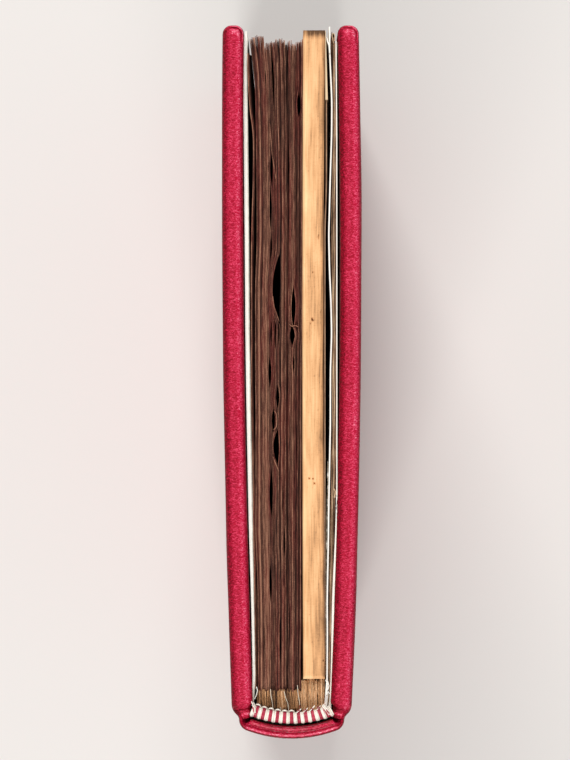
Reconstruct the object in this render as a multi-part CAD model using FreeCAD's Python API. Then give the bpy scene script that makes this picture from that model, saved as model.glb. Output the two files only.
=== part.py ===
import FreeCAD, Part
import math
import os
from FreeCAD import Vector

# An old book in a full leather binding, standing on its tail edge, in millimetres.
# X runs through the thickness, with the front cover at +X. Y runs from the spine to the fore edge.
# Z runs from tail to head. The origin is under the middle of the book.

# Overall
cover_height = 205.0
cover_width = 150.0
square = 3.0
joint_clearance = 0.2
paste_gap = 0.05

# Covers
cover_thickness = 4.4
outer_leather = 0.8
turn_in_leather = 0.5
turn_in_width = 15.0
pastedown_thickness = 0.2
lining_relief = 0.04
pastedown_margin = 3.0
cover_edge_radius = 1.85
board_bevel = 0.8
cover_bulge = 2.05
back_bow = 0.85
front_bow = 1.2

# The pile between the covers, from the back cover to the front cover
back_flyleaf_thickness = 0.8
leaf_pile = 9.15
wood_thickness = 4.4
old_pastedown_thickness = 0.3
inner_flyleaf_thickness = 0.25
old_flyleaf_thickness = 0.42
outer_flyleaf_thickness = 0.2
leaf_air = 0.1
wood_air = 0.25
back_flyleaf_setback = 1.4
outer_flyleaf_setback = 2.4
old_flyleaf_setback = 1.4
inner_flyleaf_setback = 0.5

# Leaves, in bundles that the damp has parted
bundle_slit = 0.14
bundle_swell = 0.5
bundle_root = 1.0
cockle_height = 0.1
cockle_length = 46.0
head_raggedness = 1.0
loose_leaf_thickness = 0.25
loose_leaf_stand = 0.95
tip_setbacks = (2.7, 2.3, 2.0, 2.0, 3.5, 3.2, 2.6, 2.8, 3.0, 3.7, 3.2, 2.7)

# Gaps where the leaves stand apart: slit number, middle (Y), length (Y), half width (X)
leaf_gaps = (
    (3, 64.0, 9.5, 0.15),
    (5, 65.0, 11.5, 0.2),
    (11, 58.5, 7.0, 0.35),
    (5, 44.4, 8.0, 0.25),
    (4, 28.5, 7.0, 0.2),
    (6, 19.7, 15.0, 0.6),
    (10, 14.3, 12.0, 0.3),
    (4, 2.1, 6.0, 0.25),
    (6, -3.2, 5.0, 0.35),
    (6, -13.6, 7.0, 0.5),
    (4, -23.4, 11.0, 0.3),
    (7, -26.5, 9.0, 0.12),
    (4, -42.5, 8.5, 0.2),
)

# Paper guards that carry the leaves, and the old wooden board kept in the binding
guard_depth = 4.6
guard_slit = 0.2
guard_pitch = 0.85
guard_root = 1.3
guard_lean = 0.12
binding_margin = 3.8
wood_guard_depth = 7.7
wood_setback = 1.0
wood_overhang = 1.2
wood_edge_wear = 0.5

# Spine
spine_radius = 27.0
spine_leather_thickness = 0.9
shoulder_radius = 2.4
groove_radius = 1.2
groove_turn = 60.0
groove_lip = 0.5
groove_to_hinge = 1.68
hinge_to_board = 0.9
shoulder_cover = 0.4
tube_thickness = 1.25
tube_wall = 0.45
lining_thickness = 0.4
tape_thickness = 0.3
tape_width = 10.0
tape_count = 4
tape_slip_length = 24.0
head_edge_bevel = 0.35
cap_ridge_width = 1.1
cap_height = 2.5
cap_drop = 0.3

# Sewn headbands
band_width = 2.4
band_height = 2.3
silk_thickness = 0.45
silk_white_pitch = 0.82
silk_red_pitch = 0.67
silk_white_count = 12
silk_air = 0.04
band_flats = 5
core_flats = 3

# Values worked out from the sizes above
leaf_tail = square
leaf_head = cover_height - square
fore_edge = cover_width / 2
spine_back = -cover_width / 2
pile_thickness = (back_flyleaf_thickness + leaf_air + leaf_pile + wood_air + wood_thickness
                  + old_pastedown_thickness + inner_flyleaf_thickness + old_flyleaf_thickness
                  + outer_flyleaf_thickness + 4 * paste_gap)
pile_half = pile_thickness / 2
leaf_left = -pile_half + back_flyleaf_thickness + leaf_air
leaf_right = leaf_left + leaf_pile
wood_left = leaf_right + wood_air
wood_right = wood_left + wood_thickness

spine_inner_radius = spine_radius - spine_leather_thickness
lining_outer_radius = spine_inner_radius - paste_gap - tube_thickness - paste_gap
tape_outer_radius = lining_outer_radius - lining_thickness - paste_gap
text_back_radius = tape_outer_radius - tape_thickness - paste_gap
spine_centre_y = spine_back + spine_radius
spine_angle = math.asin((pile_half + shoulder_cover) / text_back_radius)

shoulder_x = (spine_radius - shoulder_radius) * math.sin(spine_angle)
shoulder_y = spine_centre_y - (spine_radius - shoulder_radius) * math.cos(spine_angle)
groove_x = shoulder_x + shoulder_radius + groove_radius
hinge_y = shoulder_y + groove_to_hinge
cover_joint_y = hinge_y + hinge_to_board

band_radius = text_back_radius - band_width / 2
band_length = silk_white_count * silk_white_pitch + (silk_white_count - 1) * silk_red_pitch

# How far a cutting shape runs past what it cuts
overrun = 1.0
UP = Vector(0, 0, 1)


def spot(x, y, z=0.0):
    return Vector(x, y, z)


def prism(face, z_low, z_high):
    """A plan outline raised from z_low to z_high."""
    solid = face.extrude(Vector(0, 0, z_high - z_low))
    solid.translate(Vector(0, 0, z_low))
    return solid


def polygon(points):
    return Part.Face(Part.makePolygon(list(points) + [points[0]]))


def on_circle(centre, radius, angle):
    return spot(centre.x + radius * math.cos(angle), centre.y + radius * math.sin(angle))


def arc(centre, radius, start, end):
    """The arc about centre from the angle start to the angle end, in radians."""
    middle = (start + end) / 2
    return Part.Arc(on_circle(centre, radius, start), on_circle(centre, radius, middle),
                    on_circle(centre, radius, end)).toShape()


def curved_strip(centre, r_low, r_high, start, end):
    """A plan strip between two radii about one centre."""
    return Part.Face(Part.Wire([
        arc(centre, r_high, start, end),
        Part.makeLine(on_circle(centre, r_high, end), on_circle(centre, r_low, end)),
        arc(centre, r_low, end, start),
        Part.makeLine(on_circle(centre, r_low, start), on_circle(centre, r_high, start)),
    ]))


def ribbon(left_points, right_points):
    """A plan strip between two lines of points that both run the same way."""
    return polygon(left_points + right_points[::-1])


def save(name, shape):
    shape.exportStep(os.path.join("parts", name + ".step"))


class Cover:
    """One bowed cover: side is 1 for the front and -1 for the back."""

    def __init__(self, side, bow):
        self.side = side
        joint_x = pile_half + joint_clearance + cover_thickness
        fore_x = joint_x + 4 * math.sqrt(bow * cover_bulge) - 4 * bow
        chord_x = fore_x - joint_x
        chord_y = fore_edge - cover_joint_y
        chord = math.hypot(chord_x, chord_y)
        self.radius = chord * chord / (8 * bow) + bow / 2
        reach = self.radius - bow
        self.centre = spot(side * ((joint_x + fore_x) / 2 - reach * chord_y / chord),
                           (cover_joint_y + fore_edge) / 2 + reach * chord_x / chord)
        self.joint_angle = self.angle_of(side * joint_x, cover_joint_y)
        self.fore_angle = self.angle_of(side * fore_x, fore_edge)

    def angle_of(self, x, y):
        """Angle about the bow's centre, measured from the outward direction towards the fore edge."""
        return math.atan2(y - self.centre.y, self.side * (x - self.centre.x))

    def plan(self, depth_low, depth_high, fore_inset, joint_inset):
        """Plan outline of a layer: depths are measured from the outer face."""
        r_high = self.radius - depth_low
        r_low = self.radius - depth_high
        start = self.joint_angle + joint_inset / self.radius
        end = self.fore_angle - fore_inset / self.radius
        if self.side < 0:
            start = math.pi - start
            end = math.pi - end
        return curved_strip(self.centre, r_low, r_high, start, end)

    def layer(self, depth_low, depth_high, fore_inset, joint_inset, z_low, z_high):
        return prism(self.plan(depth_low, depth_high, fore_inset, joint_inset), z_low, z_high)


board_depth = cover_thickness - turn_in_leather - pastedown_thickness
lining_depth = board_depth + turn_in_leather
back_leaves_depth = cover_thickness + joint_clearance + back_flyleaf_thickness
front_leaves_depth = (cover_thickness + joint_clearance + outer_flyleaf_thickness
                      + old_flyleaf_thickness + inner_flyleaf_thickness + 2 * paste_gap)
back = Cover(-1, back_bow)
front = Cover(1, front_bow)


def tape_places():
    """Tail ends (Z) of the sewing tapes, evenly spread between head and tail."""
    pitch = (leaf_head - leaf_tail) / (tape_count + 1)
    return [leaf_tail + pitch * (n + 1) - tape_width / 2 for n in range(tape_count)]


def cover_board(cover, gap=0.0):
    """The stiff board, with its edges bevelled to take the leather."""
    inset = outer_leather - gap
    board = cover.layer(outer_leather - gap, board_depth + gap, inset, inset, inset, cover_height - inset)
    return board.makeChamfer(board_bevel, board.Edges)


def tape_slips(cover, gap=0.0):
    """The ends of the sewing tapes, pasted down inside the board."""
    beyond = fore_edge - cover_joint_y - outer_leather - tape_slip_length
    return [cover.layer(board_depth + paste_gap - gap, board_depth + tape_thickness + gap, beyond - gap,
                        outer_leather + paste_gap - gap, z - gap, z + tape_width + gap)
            for z in tape_places()]


def cover_lining(cover, gap=0.0):
    """The card that fills the inside of the board between the turned-in leather."""
    inset = turn_in_width - gap
    return cover.layer(board_depth + paste_gap - gap, lining_depth - lining_relief + gap, inset,
                       outer_leather + paste_gap - gap, inset, cover_height - inset)


def cover_leather(cover):
    """Leather over the outer face and edges, turned in at head, tail and fore edge."""
    skin = cover.layer(0, lining_depth, 0, 0, 0, cover_height)
    rims = [e for e in skin.Edges if e.Length > cover_thickness]
    skin = skin.makeFillet(cover_edge_radius, rims)
    skin = skin.cut(cover_board(cover, paste_gap))
    return skin.cut(cover_lining(cover, paste_gap))


def cover_pastedown(cover):
    return cover.layer(lining_depth + paste_gap, cover_thickness, pastedown_margin, outer_leather,
                       pastedown_margin, cover_height - pastedown_margin)


def make_cover(name, cover):
    lining = cover_lining(cover)
    for slot in tape_slips(cover, paste_gap):
        lining = lining.cut(slot)
    save(name + "_board", cover_board(cover))
    save(name + "_leather", cover_leather(cover))
    save(name + "_board_lining", lining)
    save(name + "_pastedown", cover_pastedown(cover))
    save(name + "_tape_slips", Part.makeCompound(tape_slips(cover)))


def pile_outline():
    """Everything in front of the rounded back of the leaves."""
    centre = spot(0, spine_centre_y)
    r = text_back_radius
    left = spot(-r, spine_centre_y)
    right = spot(r, spine_centre_y)
    return Part.Face(Part.Wire([
        arc(centre, r, math.pi, 2 * math.pi),
        Part.makeLine(right, spot(r, fore_edge)),
        Part.makeLine(spot(r, fore_edge), spot(-r, fore_edge)),
        Part.makeLine(spot(-r, fore_edge), left),
    ]))


def flyleaf(cover, depth_low, thickness, setback):
    """A leaf that leans on the inside of a cover and runs down to the rounded back."""
    tail_reach = cover_joint_y - spine_back
    plan = cover.plan(depth_low, depth_low + thickness, setback, -tail_reach)
    return prism(plan.common(pile_outline()), leaf_tail, leaf_head)


def make_flyleaves():
    depth = cover_thickness + joint_clearance
    save("back_flyleaves", flyleaf(back, depth, back_flyleaf_thickness, back_flyleaf_setback))
    save("front_flyleaf_outer", flyleaf(front, depth, outer_flyleaf_thickness, outer_flyleaf_setback))
    depth += outer_flyleaf_thickness + paste_gap
    save("front_old_flyleaves", flyleaf(front, depth, old_flyleaf_thickness, old_flyleaf_setback))
    depth += old_flyleaf_thickness + paste_gap
    save("front_flyleaf_inner", flyleaf(front, depth, inner_flyleaf_thickness, inner_flyleaf_setback))


bundle_count = len(tip_setbacks)
guard_top_y = shoulder_y + guard_depth
slab_top_y = guard_top_y + binding_margin


def bundle_edge(number, y):
    """X of the line between two bundles: it swells away from the spine and cockles."""
    share = number / bundle_count
    swell = bundle_swell * (1 - math.exp(-(y - slab_top_y) / cockle_length))
    wave = math.sin(2 * math.pi * y / cockle_length + 1.7 * number) * cockle_height
    if number in (0, bundle_count):
        wave /= 2
    return leaf_left - swell * (1 - share) + leaf_pile * share + wave


def edge_line(number, offset, y_low, y_high):
    """Points along the edge of a bundle, a quarter of a cockle apart."""
    steps = math.ceil(4 * (y_high - y_low) / cockle_length)
    lines = [y_low + (y_high - y_low) * n / steps for n in range(steps + 1)]
    return [spot(bundle_edge(number, y) + offset, y) for y in lines]


def lens(number, middle, length, half_width):
    """The gap between two leaves that bow away from each other."""
    x_low = bundle_edge(number, middle - length / 2)
    x_high = bundle_edge(number, middle + length / 2)
    x_middle = bundle_edge(number, middle)
    low = spot(x_low, middle - length / 2)
    high = spot(x_high, middle + length / 2)
    return Part.Face(Part.Wire([
        Part.Arc(low, spot(x_middle - half_width, middle), high).toShape(),
        Part.Arc(high, spot(x_middle + half_width, middle), low).toShape(),
    ]))


def leaf_bundle(number):
    """Leaves that stuck together, with a ragged head and fore edge of their own."""
    y_low = slab_top_y - bundle_root
    y_high = fore_edge - tip_setbacks[number]
    face = ribbon(edge_line(number, bundle_slit / 2, y_low, y_high),
                  edge_line(number + 1, -bundle_slit / 2, y_low, y_high))
    for gap in leaf_gaps:
        if gap[0] in (number, number + 1):
            face = face.cut(lens(*gap))
    drop = head_raggedness * (0.5 + 0.5 * math.sin(2.4 * number))
    return prism(face, leaf_tail, leaf_head - drop)


def loose_leaf():
    """A single leaf that stands away from the bundles on the back side."""
    y_low = slab_top_y - bundle_root
    y_high = fore_edge - tip_setbacks[0]
    steps = 6
    points = []
    for n in range(steps + 1):
        y = y_low + (y_high - y_low) * n / steps
        stand = loose_leaf_stand * math.sin(0.5 * math.pi * min(1, 1.6 * n / steps))
        points.append(spot(bundle_edge(0, y) - stand, y))
    return prism(ribbon(points, [p + Vector(loose_leaf_thickness, 0, 0) for p in points]),
                 leaf_tail, leaf_head - head_raggedness)


def leaf_block():
    """All the leaves as one solid: bundles that part from a glued back edge."""
    slab = prism(polygon([spot(leaf_left, guard_top_y), spot(leaf_right, guard_top_y),
                          spot(leaf_right, slab_top_y), spot(leaf_left, slab_top_y)]),
                 leaf_tail, leaf_head)
    block = slab.fuse([leaf_bundle(n) for n in range(bundle_count)] + [loose_leaf()])
    return block.removeSplitter()


def leaf_guards():
    """Folded paper stubs between the leaves and the rounded back, open like a brush."""
    top = shoulder_y + wood_guard_depth
    right = wood_right + old_pastedown_thickness
    low = spine_back
    step_x = leaf_right + wood_air / 2
    face = polygon([spot(leaf_left, low), spot(right, low), spot(right, top), spot(step_x, top),
                    spot(step_x, guard_top_y), spot(leaf_left, guard_top_y)])
    face = face.common(pile_outline())
    reach = cover_joint_y - spine_back
    for cover, leaves in ((back, back_leaves_depth), (front, front_leaves_depth)):
        face = face.cut(cover.plan(0, leaves + paste_gap, 0, -reach))
    count = int((right - leaf_left) / guard_pitch)
    for n in range(1, count):
        x = leaf_left + guard_pitch * n
        lean = guard_lean * math.sin(2.1 * n)
        y_top = top if x > step_x - guard_pitch / 2 else guard_top_y
        back_y = spine_centre_y - math.sqrt(text_back_radius ** 2 - x * x)
        half = guard_slit / 2 * (1 + 0.4 * math.sin(3.7 * n))
        face = face.cut(polygon([spot(x - half, y_top + overrun), spot(x + half, y_top + overrun),
                                 spot(x + half + lean, back_y + guard_root),
                                 spot(x - half + lean, back_y + guard_root)]))
    return prism(face, leaf_tail, leaf_head)


def old_wooden_board():
    low = shoulder_y + wood_guard_depth + paste_gap
    high = fore_edge - wood_setback
    board = prism(polygon([spot(wood_left, low), spot(wood_right, low),
                           spot(wood_right, high), spot(wood_left, high)]),
                  leaf_tail - wood_overhang, leaf_head + wood_overhang)
    return board.makeChamfer(wood_edge_wear, board.Edges)


def old_pastedown():
    low = shoulder_y + wood_guard_depth + paste_gap
    left = wood_right + paste_gap
    right = left + old_pastedown_thickness
    high = fore_edge - wood_setback - wood_edge_wear
    return prism(polygon([spot(left, low), spot(right, low), spot(right, high), spot(left, high)]),
                 leaf_tail, leaf_head)


def spine_plan(r_low, r_high, angle=spine_angle):
    """Plan strip on the rounded back, centred on the middle of the spine."""
    down = -math.pi / 2
    return curved_strip(spot(0, spine_centre_y), r_low, r_high, down - angle, down + angle)


def spine_section(section):
    """A section in the middle of the spine, given as points of radius and height."""
    return polygon([spot(0, spine_centre_y - r, z) for r, z in section])


def spine_ring(section, angle=spine_angle):
    """A section turned about the centre of the rounded back, as far as the angle each way."""
    face = spine_section(section)
    axis = spot(0, spine_centre_y)
    face.rotate(axis, UP, math.degrees(-angle))
    return face.revolve(axis, UP, math.degrees(2 * angle))


def half_round(r_low, r_high, z_low, z_high, flats):
    """Section with upright sides and a rounded top made of flats."""
    half = (r_high - r_low) / 2
    middle = (r_low + r_high) / 2
    rise = min(half, z_high - z_low)
    turns = [math.pi * n / flats for n in range(flats + 1)]
    top = [(middle + half * math.cos(a), z_high - rise + rise * math.sin(a)) for a in turns]
    return [(r_high, z_low)] + top + [(r_low, z_low)]


def shoulder_edges(side, inner):
    """Edges of one end of the spine leather: round the shoulder, into the joint groove and out again."""
    depth = spine_leather_thickness if inner else 0.0
    shoulder = spot(side * shoulder_x, shoulder_y)
    groove = spot(side * groove_x, shoulder_y)
    turn = math.radians(groove_turn)

    def mirrored(angle):
        return angle if side > 0 else math.pi - angle

    first = arc(shoulder, shoulder_radius - depth, mirrored(-math.pi / 2 + spine_angle), mirrored(0.0))
    second = arc(groove, groove_radius + depth, mirrored(math.pi), mirrored(math.pi - turn))
    end = on_circle(groove, groove_radius + depth, mirrored(math.pi - turn))
    lip = end + Vector(side * groove_lip * math.sin(turn), groove_lip * math.cos(turn), 0)
    return [first, second, Part.makeLine(end, lip)], lip


def spine_leather_plan():
    centre = spot(0, spine_centre_y)
    down = -math.pi / 2
    edges = [arc(centre, spine_radius, down - spine_angle, down + spine_angle),
             arc(centre, spine_inner_radius, down - spine_angle, down + spine_angle)]
    for side in (-1, 1):
        outer, outer_lip = shoulder_edges(side, False)
        inner, inner_lip = shoulder_edges(side, True)
        edges += outer + inner + [Part.makeLine(outer_lip, inner_lip)]
    return Part.Face(Part.Wire(Part.__sortEdges__(edges)))


def spine_leather():
    """Leather over the rounded back, with a rounded edge, turn-ins and a cap at head and tail."""
    strip = prism(spine_leather_plan(), 0, cover_height)
    rims = [e for e in strip.Edges
            if abs(e.BoundBox.ZMax - e.BoundBox.ZMin) < 1e-6 and is_outer_rim(e)]
    strip = strip.makeChamfer(head_edge_bevel, rims)
    turn_in_low = spine_inner_radius - turn_in_leather
    cap_low = spine_inner_radius - cap_ridge_width - turn_in_leather
    parts = []
    for end in (0, 1):
        z = turn_in_width if end == 0 else cover_height - turn_in_width
        edge = cap_height if end == 0 else cover_height - cap_height
        turn_in = prism(spine_plan(turn_in_low, spine_inner_radius + paste_gap), min(z, edge), max(z, edge))
        cap = spine_ring(half_round(cap_low, spine_inner_radius + paste_gap,
                                    cover_height - cap_height, cover_height - cap_drop, band_flats))
        parts += [turn_in, cap if end else upside_down(cap)]
    return strip.fuse(parts).removeSplitter()


def is_outer_rim(edge):
    """True for the edges that run along the outside of the spine leather."""
    for point in (edge.Vertexes[0].Point, edge.Vertexes[-1].Point):
        outside = [abs(math.hypot(point.x, point.y - spine_centre_y) - spine_radius) < 0.01,
                   abs(math.hypot(abs(point.x) - shoulder_x, point.y - shoulder_y) - shoulder_radius) < 0.01,
                   abs(math.hypot(abs(point.x) - groove_x, point.y - shoulder_y) - groove_radius) < 0.01]
        if not any(outside):
            return False
    return True


def upside_down(shape):
    """The same piece at the other end of the book."""
    return shape.mirror(spot(0, 0, cover_height / 2), UP)


def hollow_tube():
    """Flattened paper tube that lets the spine leather lift when the book opens."""
    low = turn_in_width + paste_gap
    high = cover_height - turn_in_width - paste_gap
    r_low = lining_outer_radius + paste_gap
    r_high = r_low + tube_thickness
    seam = tube_wall / r_low
    shell = prism(spine_plan(r_low, r_high), low, high)
    return shell.cut(prism(spine_plan(r_low + tube_wall, r_high - tube_wall, spine_angle - seam),
                           low - overrun, high + overrun))


def make_spine():
    save("sewing_tapes", Part.makeCompound([
        prism(spine_plan(text_back_radius + paste_gap, tape_outer_radius), z, z + tape_width)
        for z in tape_places()]))
    lining = prism(spine_plan(tape_outer_radius + paste_gap, lining_outer_radius), leaf_tail, leaf_head)
    save("spine_lining", lining)
    save("spine_hollow_tube", hollow_tube())
    save("spine_leather", spine_leather())


def band_core():
    """The stiff strip inside a headband, seated on the ends of the guards."""
    inset = silk_thickness + silk_air
    section = half_round(text_back_radius - band_width + inset, text_back_radius - inset,
                         leaf_head + paste_gap, leaf_head + band_height - inset, core_flats)
    return spine_ring(section, band_length / band_radius / 2)


def silk_wrap(middle, pitch):
    """One group of silk threads, wound over the core and down both of its sides."""
    half = (pitch - silk_air) / 2
    outer = half_round(text_back_radius - band_width, text_back_radius,
                       leaf_head + paste_gap, leaf_head + band_height, band_flats)
    inner = half_round(text_back_radius - band_width + silk_thickness, text_back_radius - silk_thickness,
                       leaf_head - overrun, leaf_head + band_height - silk_thickness, core_flats)
    section = spine_section(outer).cut(spine_section(inner))
    section.translate(Vector(-pitch, 0, 0))
    wide = section.extrude(Vector(2 * pitch, 0, 0))
    flare = spine_radius * half / band_radius
    low = spine_centre_y - spine_radius
    wedge = prism(polygon([spot(0, spine_centre_y), spot(-flare, low), spot(flare, low)]),
                  leaf_head, cover_height)
    wrap = wide.common(wedge)
    wrap.rotate(spot(0, spine_centre_y), UP, math.degrees(middle))
    return wrap


def silk_wraps():
    """White and red groups in turn, white at both ends."""
    colours = {"white": [], "red": []}
    place = -band_length / 2
    for n in range(2 * silk_white_count - 1):
        colour = "red" if n % 2 else "white"
        pitch = silk_red_pitch if n % 2 else silk_white_pitch
        colours[colour].append(silk_wrap((place + pitch / 2) / band_radius, pitch))
        place += pitch
    return colours


def make_headbands():
    core = band_core()
    wraps = silk_wraps()
    for name in ("head", "tail"):
        turn = upside_down if name == "tail" else (lambda shape: shape)
        save(name + "_band_core", turn(core))
        for colour, group in wraps.items():
            save(name + "_band_" + colour + "_silk", Part.makeCompound([turn(w) for w in group]))


os.makedirs("parts", exist_ok=True)
make_cover("back", back)
make_cover("front", front)
make_flyleaves()
save("leaf_block", leaf_block())
save("leaf_guards", leaf_guards())
save("old_wooden_board", old_wooden_board())
save("old_pastedown", old_pastedown())
make_spine()
make_headbands()
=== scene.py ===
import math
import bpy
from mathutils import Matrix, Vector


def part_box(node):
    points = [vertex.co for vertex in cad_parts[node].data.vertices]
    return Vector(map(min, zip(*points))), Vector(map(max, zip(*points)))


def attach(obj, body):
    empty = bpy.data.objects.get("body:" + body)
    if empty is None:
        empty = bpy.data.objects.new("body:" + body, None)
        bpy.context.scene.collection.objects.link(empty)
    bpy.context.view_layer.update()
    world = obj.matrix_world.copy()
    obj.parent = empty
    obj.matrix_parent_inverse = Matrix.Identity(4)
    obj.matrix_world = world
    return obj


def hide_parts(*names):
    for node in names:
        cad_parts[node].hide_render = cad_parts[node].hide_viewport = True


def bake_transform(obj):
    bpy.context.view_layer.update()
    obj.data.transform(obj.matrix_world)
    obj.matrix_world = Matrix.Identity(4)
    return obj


bl_info = {
    "name": "Antique leather book",
    "version": (1, 0, 0),
    "blender": (4, 5, 0),
    "location": "View3D > Sidebar > Book",
    "description": "An old book in red goatskin, with cockled leaves, an old wooden board and silk headbands",
    "category": "Add Mesh",
}

import bmesh
import bpy
import numpy as np
from bpy.props import FloatProperty, FloatVectorProperty, IntProperty, PointerProperty
from mathutils import Vector

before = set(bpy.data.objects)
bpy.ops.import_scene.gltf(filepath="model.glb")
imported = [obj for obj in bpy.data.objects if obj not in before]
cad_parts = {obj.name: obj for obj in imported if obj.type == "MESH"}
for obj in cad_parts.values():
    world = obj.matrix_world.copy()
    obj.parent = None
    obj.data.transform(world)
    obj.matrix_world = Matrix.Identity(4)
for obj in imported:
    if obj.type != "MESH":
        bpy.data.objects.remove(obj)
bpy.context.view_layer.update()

# Lengths below are in millimetres, in the frame's axes: X through the thickness with the front cover
# at +X, Y from the spine to the fore edge, Z from tail to head.
MM = 0.001


def box_mm(name):
    """The two corners of a node's box, in millimetres."""
    return [np.array(corner) * (1 / MM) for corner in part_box(name)]


HEAD = box_mm("spine_leather")[1][2]
LEAF_TAIL, LEAF_HEAD = [corner[2] for corner in box_mm("leaf_block")]
JOINT, FORE = [corner[1] for corner in box_mm("front_leather")]

# Places read off the photo are kept as (column, row) in pixels. One pixel is PIXEL mm on the
# head of the book, and the frame's X and Y are 0 at MIDDLE.
PIXEL = 0.21
MIDDLE = (291.7, 381.9)

# Covers: depth, how much deeper the rounded edges are, their rounding, the rounding of the corners, the
# turn-in, how far each cover bows outward, the bow that sets how much it leans, X of the outer face
# where the joint ends, and the way (X, Y) from the outer face of the joint inward
COVER_DEPTH = 4.2
EDGE_BULGE = 0.3
EDGE_ROUND = 1.85
CORNER_ROUND = 1.3
TURN_IN = 15.0
BOWS = {"front": 1.2, "back": 0.85}
COVER_BULGE = 2.05
JOINT_X = 12.635
JOINT_INWARD = (-0.985, 0.17)

# Spine in plan, as centres (X, Y) and radii: the round back, its half angle, its shoulders and the
# joint grooves; the radius on which the headbands lie; and the wraps of silk on each
SPINE_CENTRE = (0.0, -48.0)
SPINE_RADIUS = 27.0
SPINE_ANGLE = 0.3599
SHOULDER = (8.6639, -71.0238)
SHOULDER_RADIUS = 2.4
GROOVE = (12.2639, -71.0238)
GROOVE_RADIUS = 1.2
BAND_RADIUS = 22.75
WHITE_WRAPS, RED_WRAPS = 12, 11

# Outer line of the leather from the deepest line of the joint groove onto the cover, as (X, Y)
JOINT_LINE = ((11.09, -70.95), (11.14, -70.7), (11.26, -70.42), (11.45, -70.16), (11.7, -69.93),
              (11.98, -69.68), (12.24, -69.36), (12.43, -69.0), (12.55, -68.6), (12.62, -68.15))

# How the cap of leather at each end of the spine folds over, as (depth, height above the leaves' head):
# over the round back, where it has two ridges, and at the shoulders, where it is one plain fold
CAP_FOLD = ((0, 1.6), (0, 2.0), (0.06, 2.4), (0.2, 2.7), (0.4, 2.9), (0.62, 2.97), (0.82, 2.9),
            (0.98, 2.72), (1.12, 2.5), (1.3, 2.3), (1.5, 2.2), (1.68, 2.2), (1.84, 2.28), (2.0, 2.38),
            (2.18, 2.42), (2.36, 2.38), (2.52, 2.2), (2.62, 1.95), (2.6, 1.6), (2.5, 1.2), (2.2, 0.7),
            (1.8, 0.5), (1.5, 0.2), (1.42, -0.5), (1.42, -4), (1.42, -12))
PLAIN_FOLD = ((0, 1.6), (0, 2.0), (0.03, 2.35), (0.12, 2.66), (0.26, 2.88), (0.42, 2.97), (0.56, 2.93),
              (0.68, 2.78), (0.78, 2.5), (0.84, 2.3), (0.88, 2.1), (0.92, 1.9), (1.0, 1.7), (1.1, 1.55),
              (1.22, 1.4), (1.36, 1.25), (1.5, 1.1), (1.64, 0.95), (1.78, 0.8), (1.9, 0.65), (2.0, 0.5),
              (2.1, 0.3), (2.18, 0.1), (2.2, -0.5), (2.2, -4), (2.2, -12))

# Edges of the leaves and lines of single leaves, in photo pixels
LEAVES_LEFT = ((249.3, 36), (252.6, 60), (254.3, 78), (255, 100), (256, 133), (256.8, 223), (255.4, 290),
               (254.8, 335), (255.4, 400), (255.4, 530), (257.5, 593), (257.9, 690))
LEAVES_RIGHT = ((303.2, 36), (302.8, 60), (302.2, 130), (302.2, 330), (301.6, 400), (301.4, 600),
                (300.7, 690))
LEAF_TIPS = ((249.3, 37.6), (253.9, 35.9), (256.1, 34.2), (261.4, 34.2), (267.1, 41.4), (271.4, 39.8),
             (278.6, 37), (285.7, 38.1), (289.3, 39.2), (293.2, 42.6), (297.1, 39.8), (302.5, 37.6))
LEAF_FEET = ((255, 689), (262, 694), (270, 688), (280, 696), (290, 690), (303, 687))
LOOSE_LEAF = ((247.4, 52), (247.9, 75), (248.9, 93), (249.8, 107), (251, 117), (252.8, 126), (253.6, 145),
              (253, 190), (251.9, 223), (251.2, 260), (251.2, 330), (251.2, 390), (252.6, 450),
              (253.4, 520), (254.6, 600), (255.6, 690))
WHITE_BACK_LEAVES = ((246, 30), (244.6, 60), (245.7, 130), (246.3, 190), (246.8, 250), (247.3, 330),
                     (248.3, 400), (249.2, 447), (250.7, 526), (252.5, 593), (253.4, 637), (254.2, 682),
                     (252.6, 705))
CRUMPLED_LEAF = ((328.2, 462), (328, 490), (327.2, 520), (326.7, 560), (326.3, 600), (326.1, 640),
                 (325.9, 668))
WHITE_INNER_LEAF = ((329.6, 25.6), (330, 55), (332, 100), (331.8, 133), (330.4, 178), (328.9, 234),
                    (329.6, 268), (331.1, 301), (331.8, 334), (330.6, 370), (330.5, 425), (329.6, 469),
                    (328.8, 514), (328.5, 540), (327.3, 600), (327.5, 640), (327, 696), (325.6, 708))
WHITE_INNER_BRANCH = ((326.8, 36.4), (327.6, 40), (329.3, 44), (329.9, 52))
OLD_FRONT_LEAVES = ((334.6, 30.5), (335, 60), (334.6, 150), (334.1, 250), (334.2, 400), (333.5, 480),
                    (331.4, 560), (330.3, 640), (329.7, 690), (327.8, 706))
WHITE_OUTER_LEAF = ((336.2, 40), (336.6, 100), (336.9, 130), (337, 300), (337, 500), (336, 540),
                    (333.5, 600), (332.5, 660), (331.5, 700), (329.6, 709))
WOOD_LEAF = ((326.5, 99), (326.5, 200), (325, 216), (325, 400), (324.9, 600), (325.2, 676))

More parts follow.
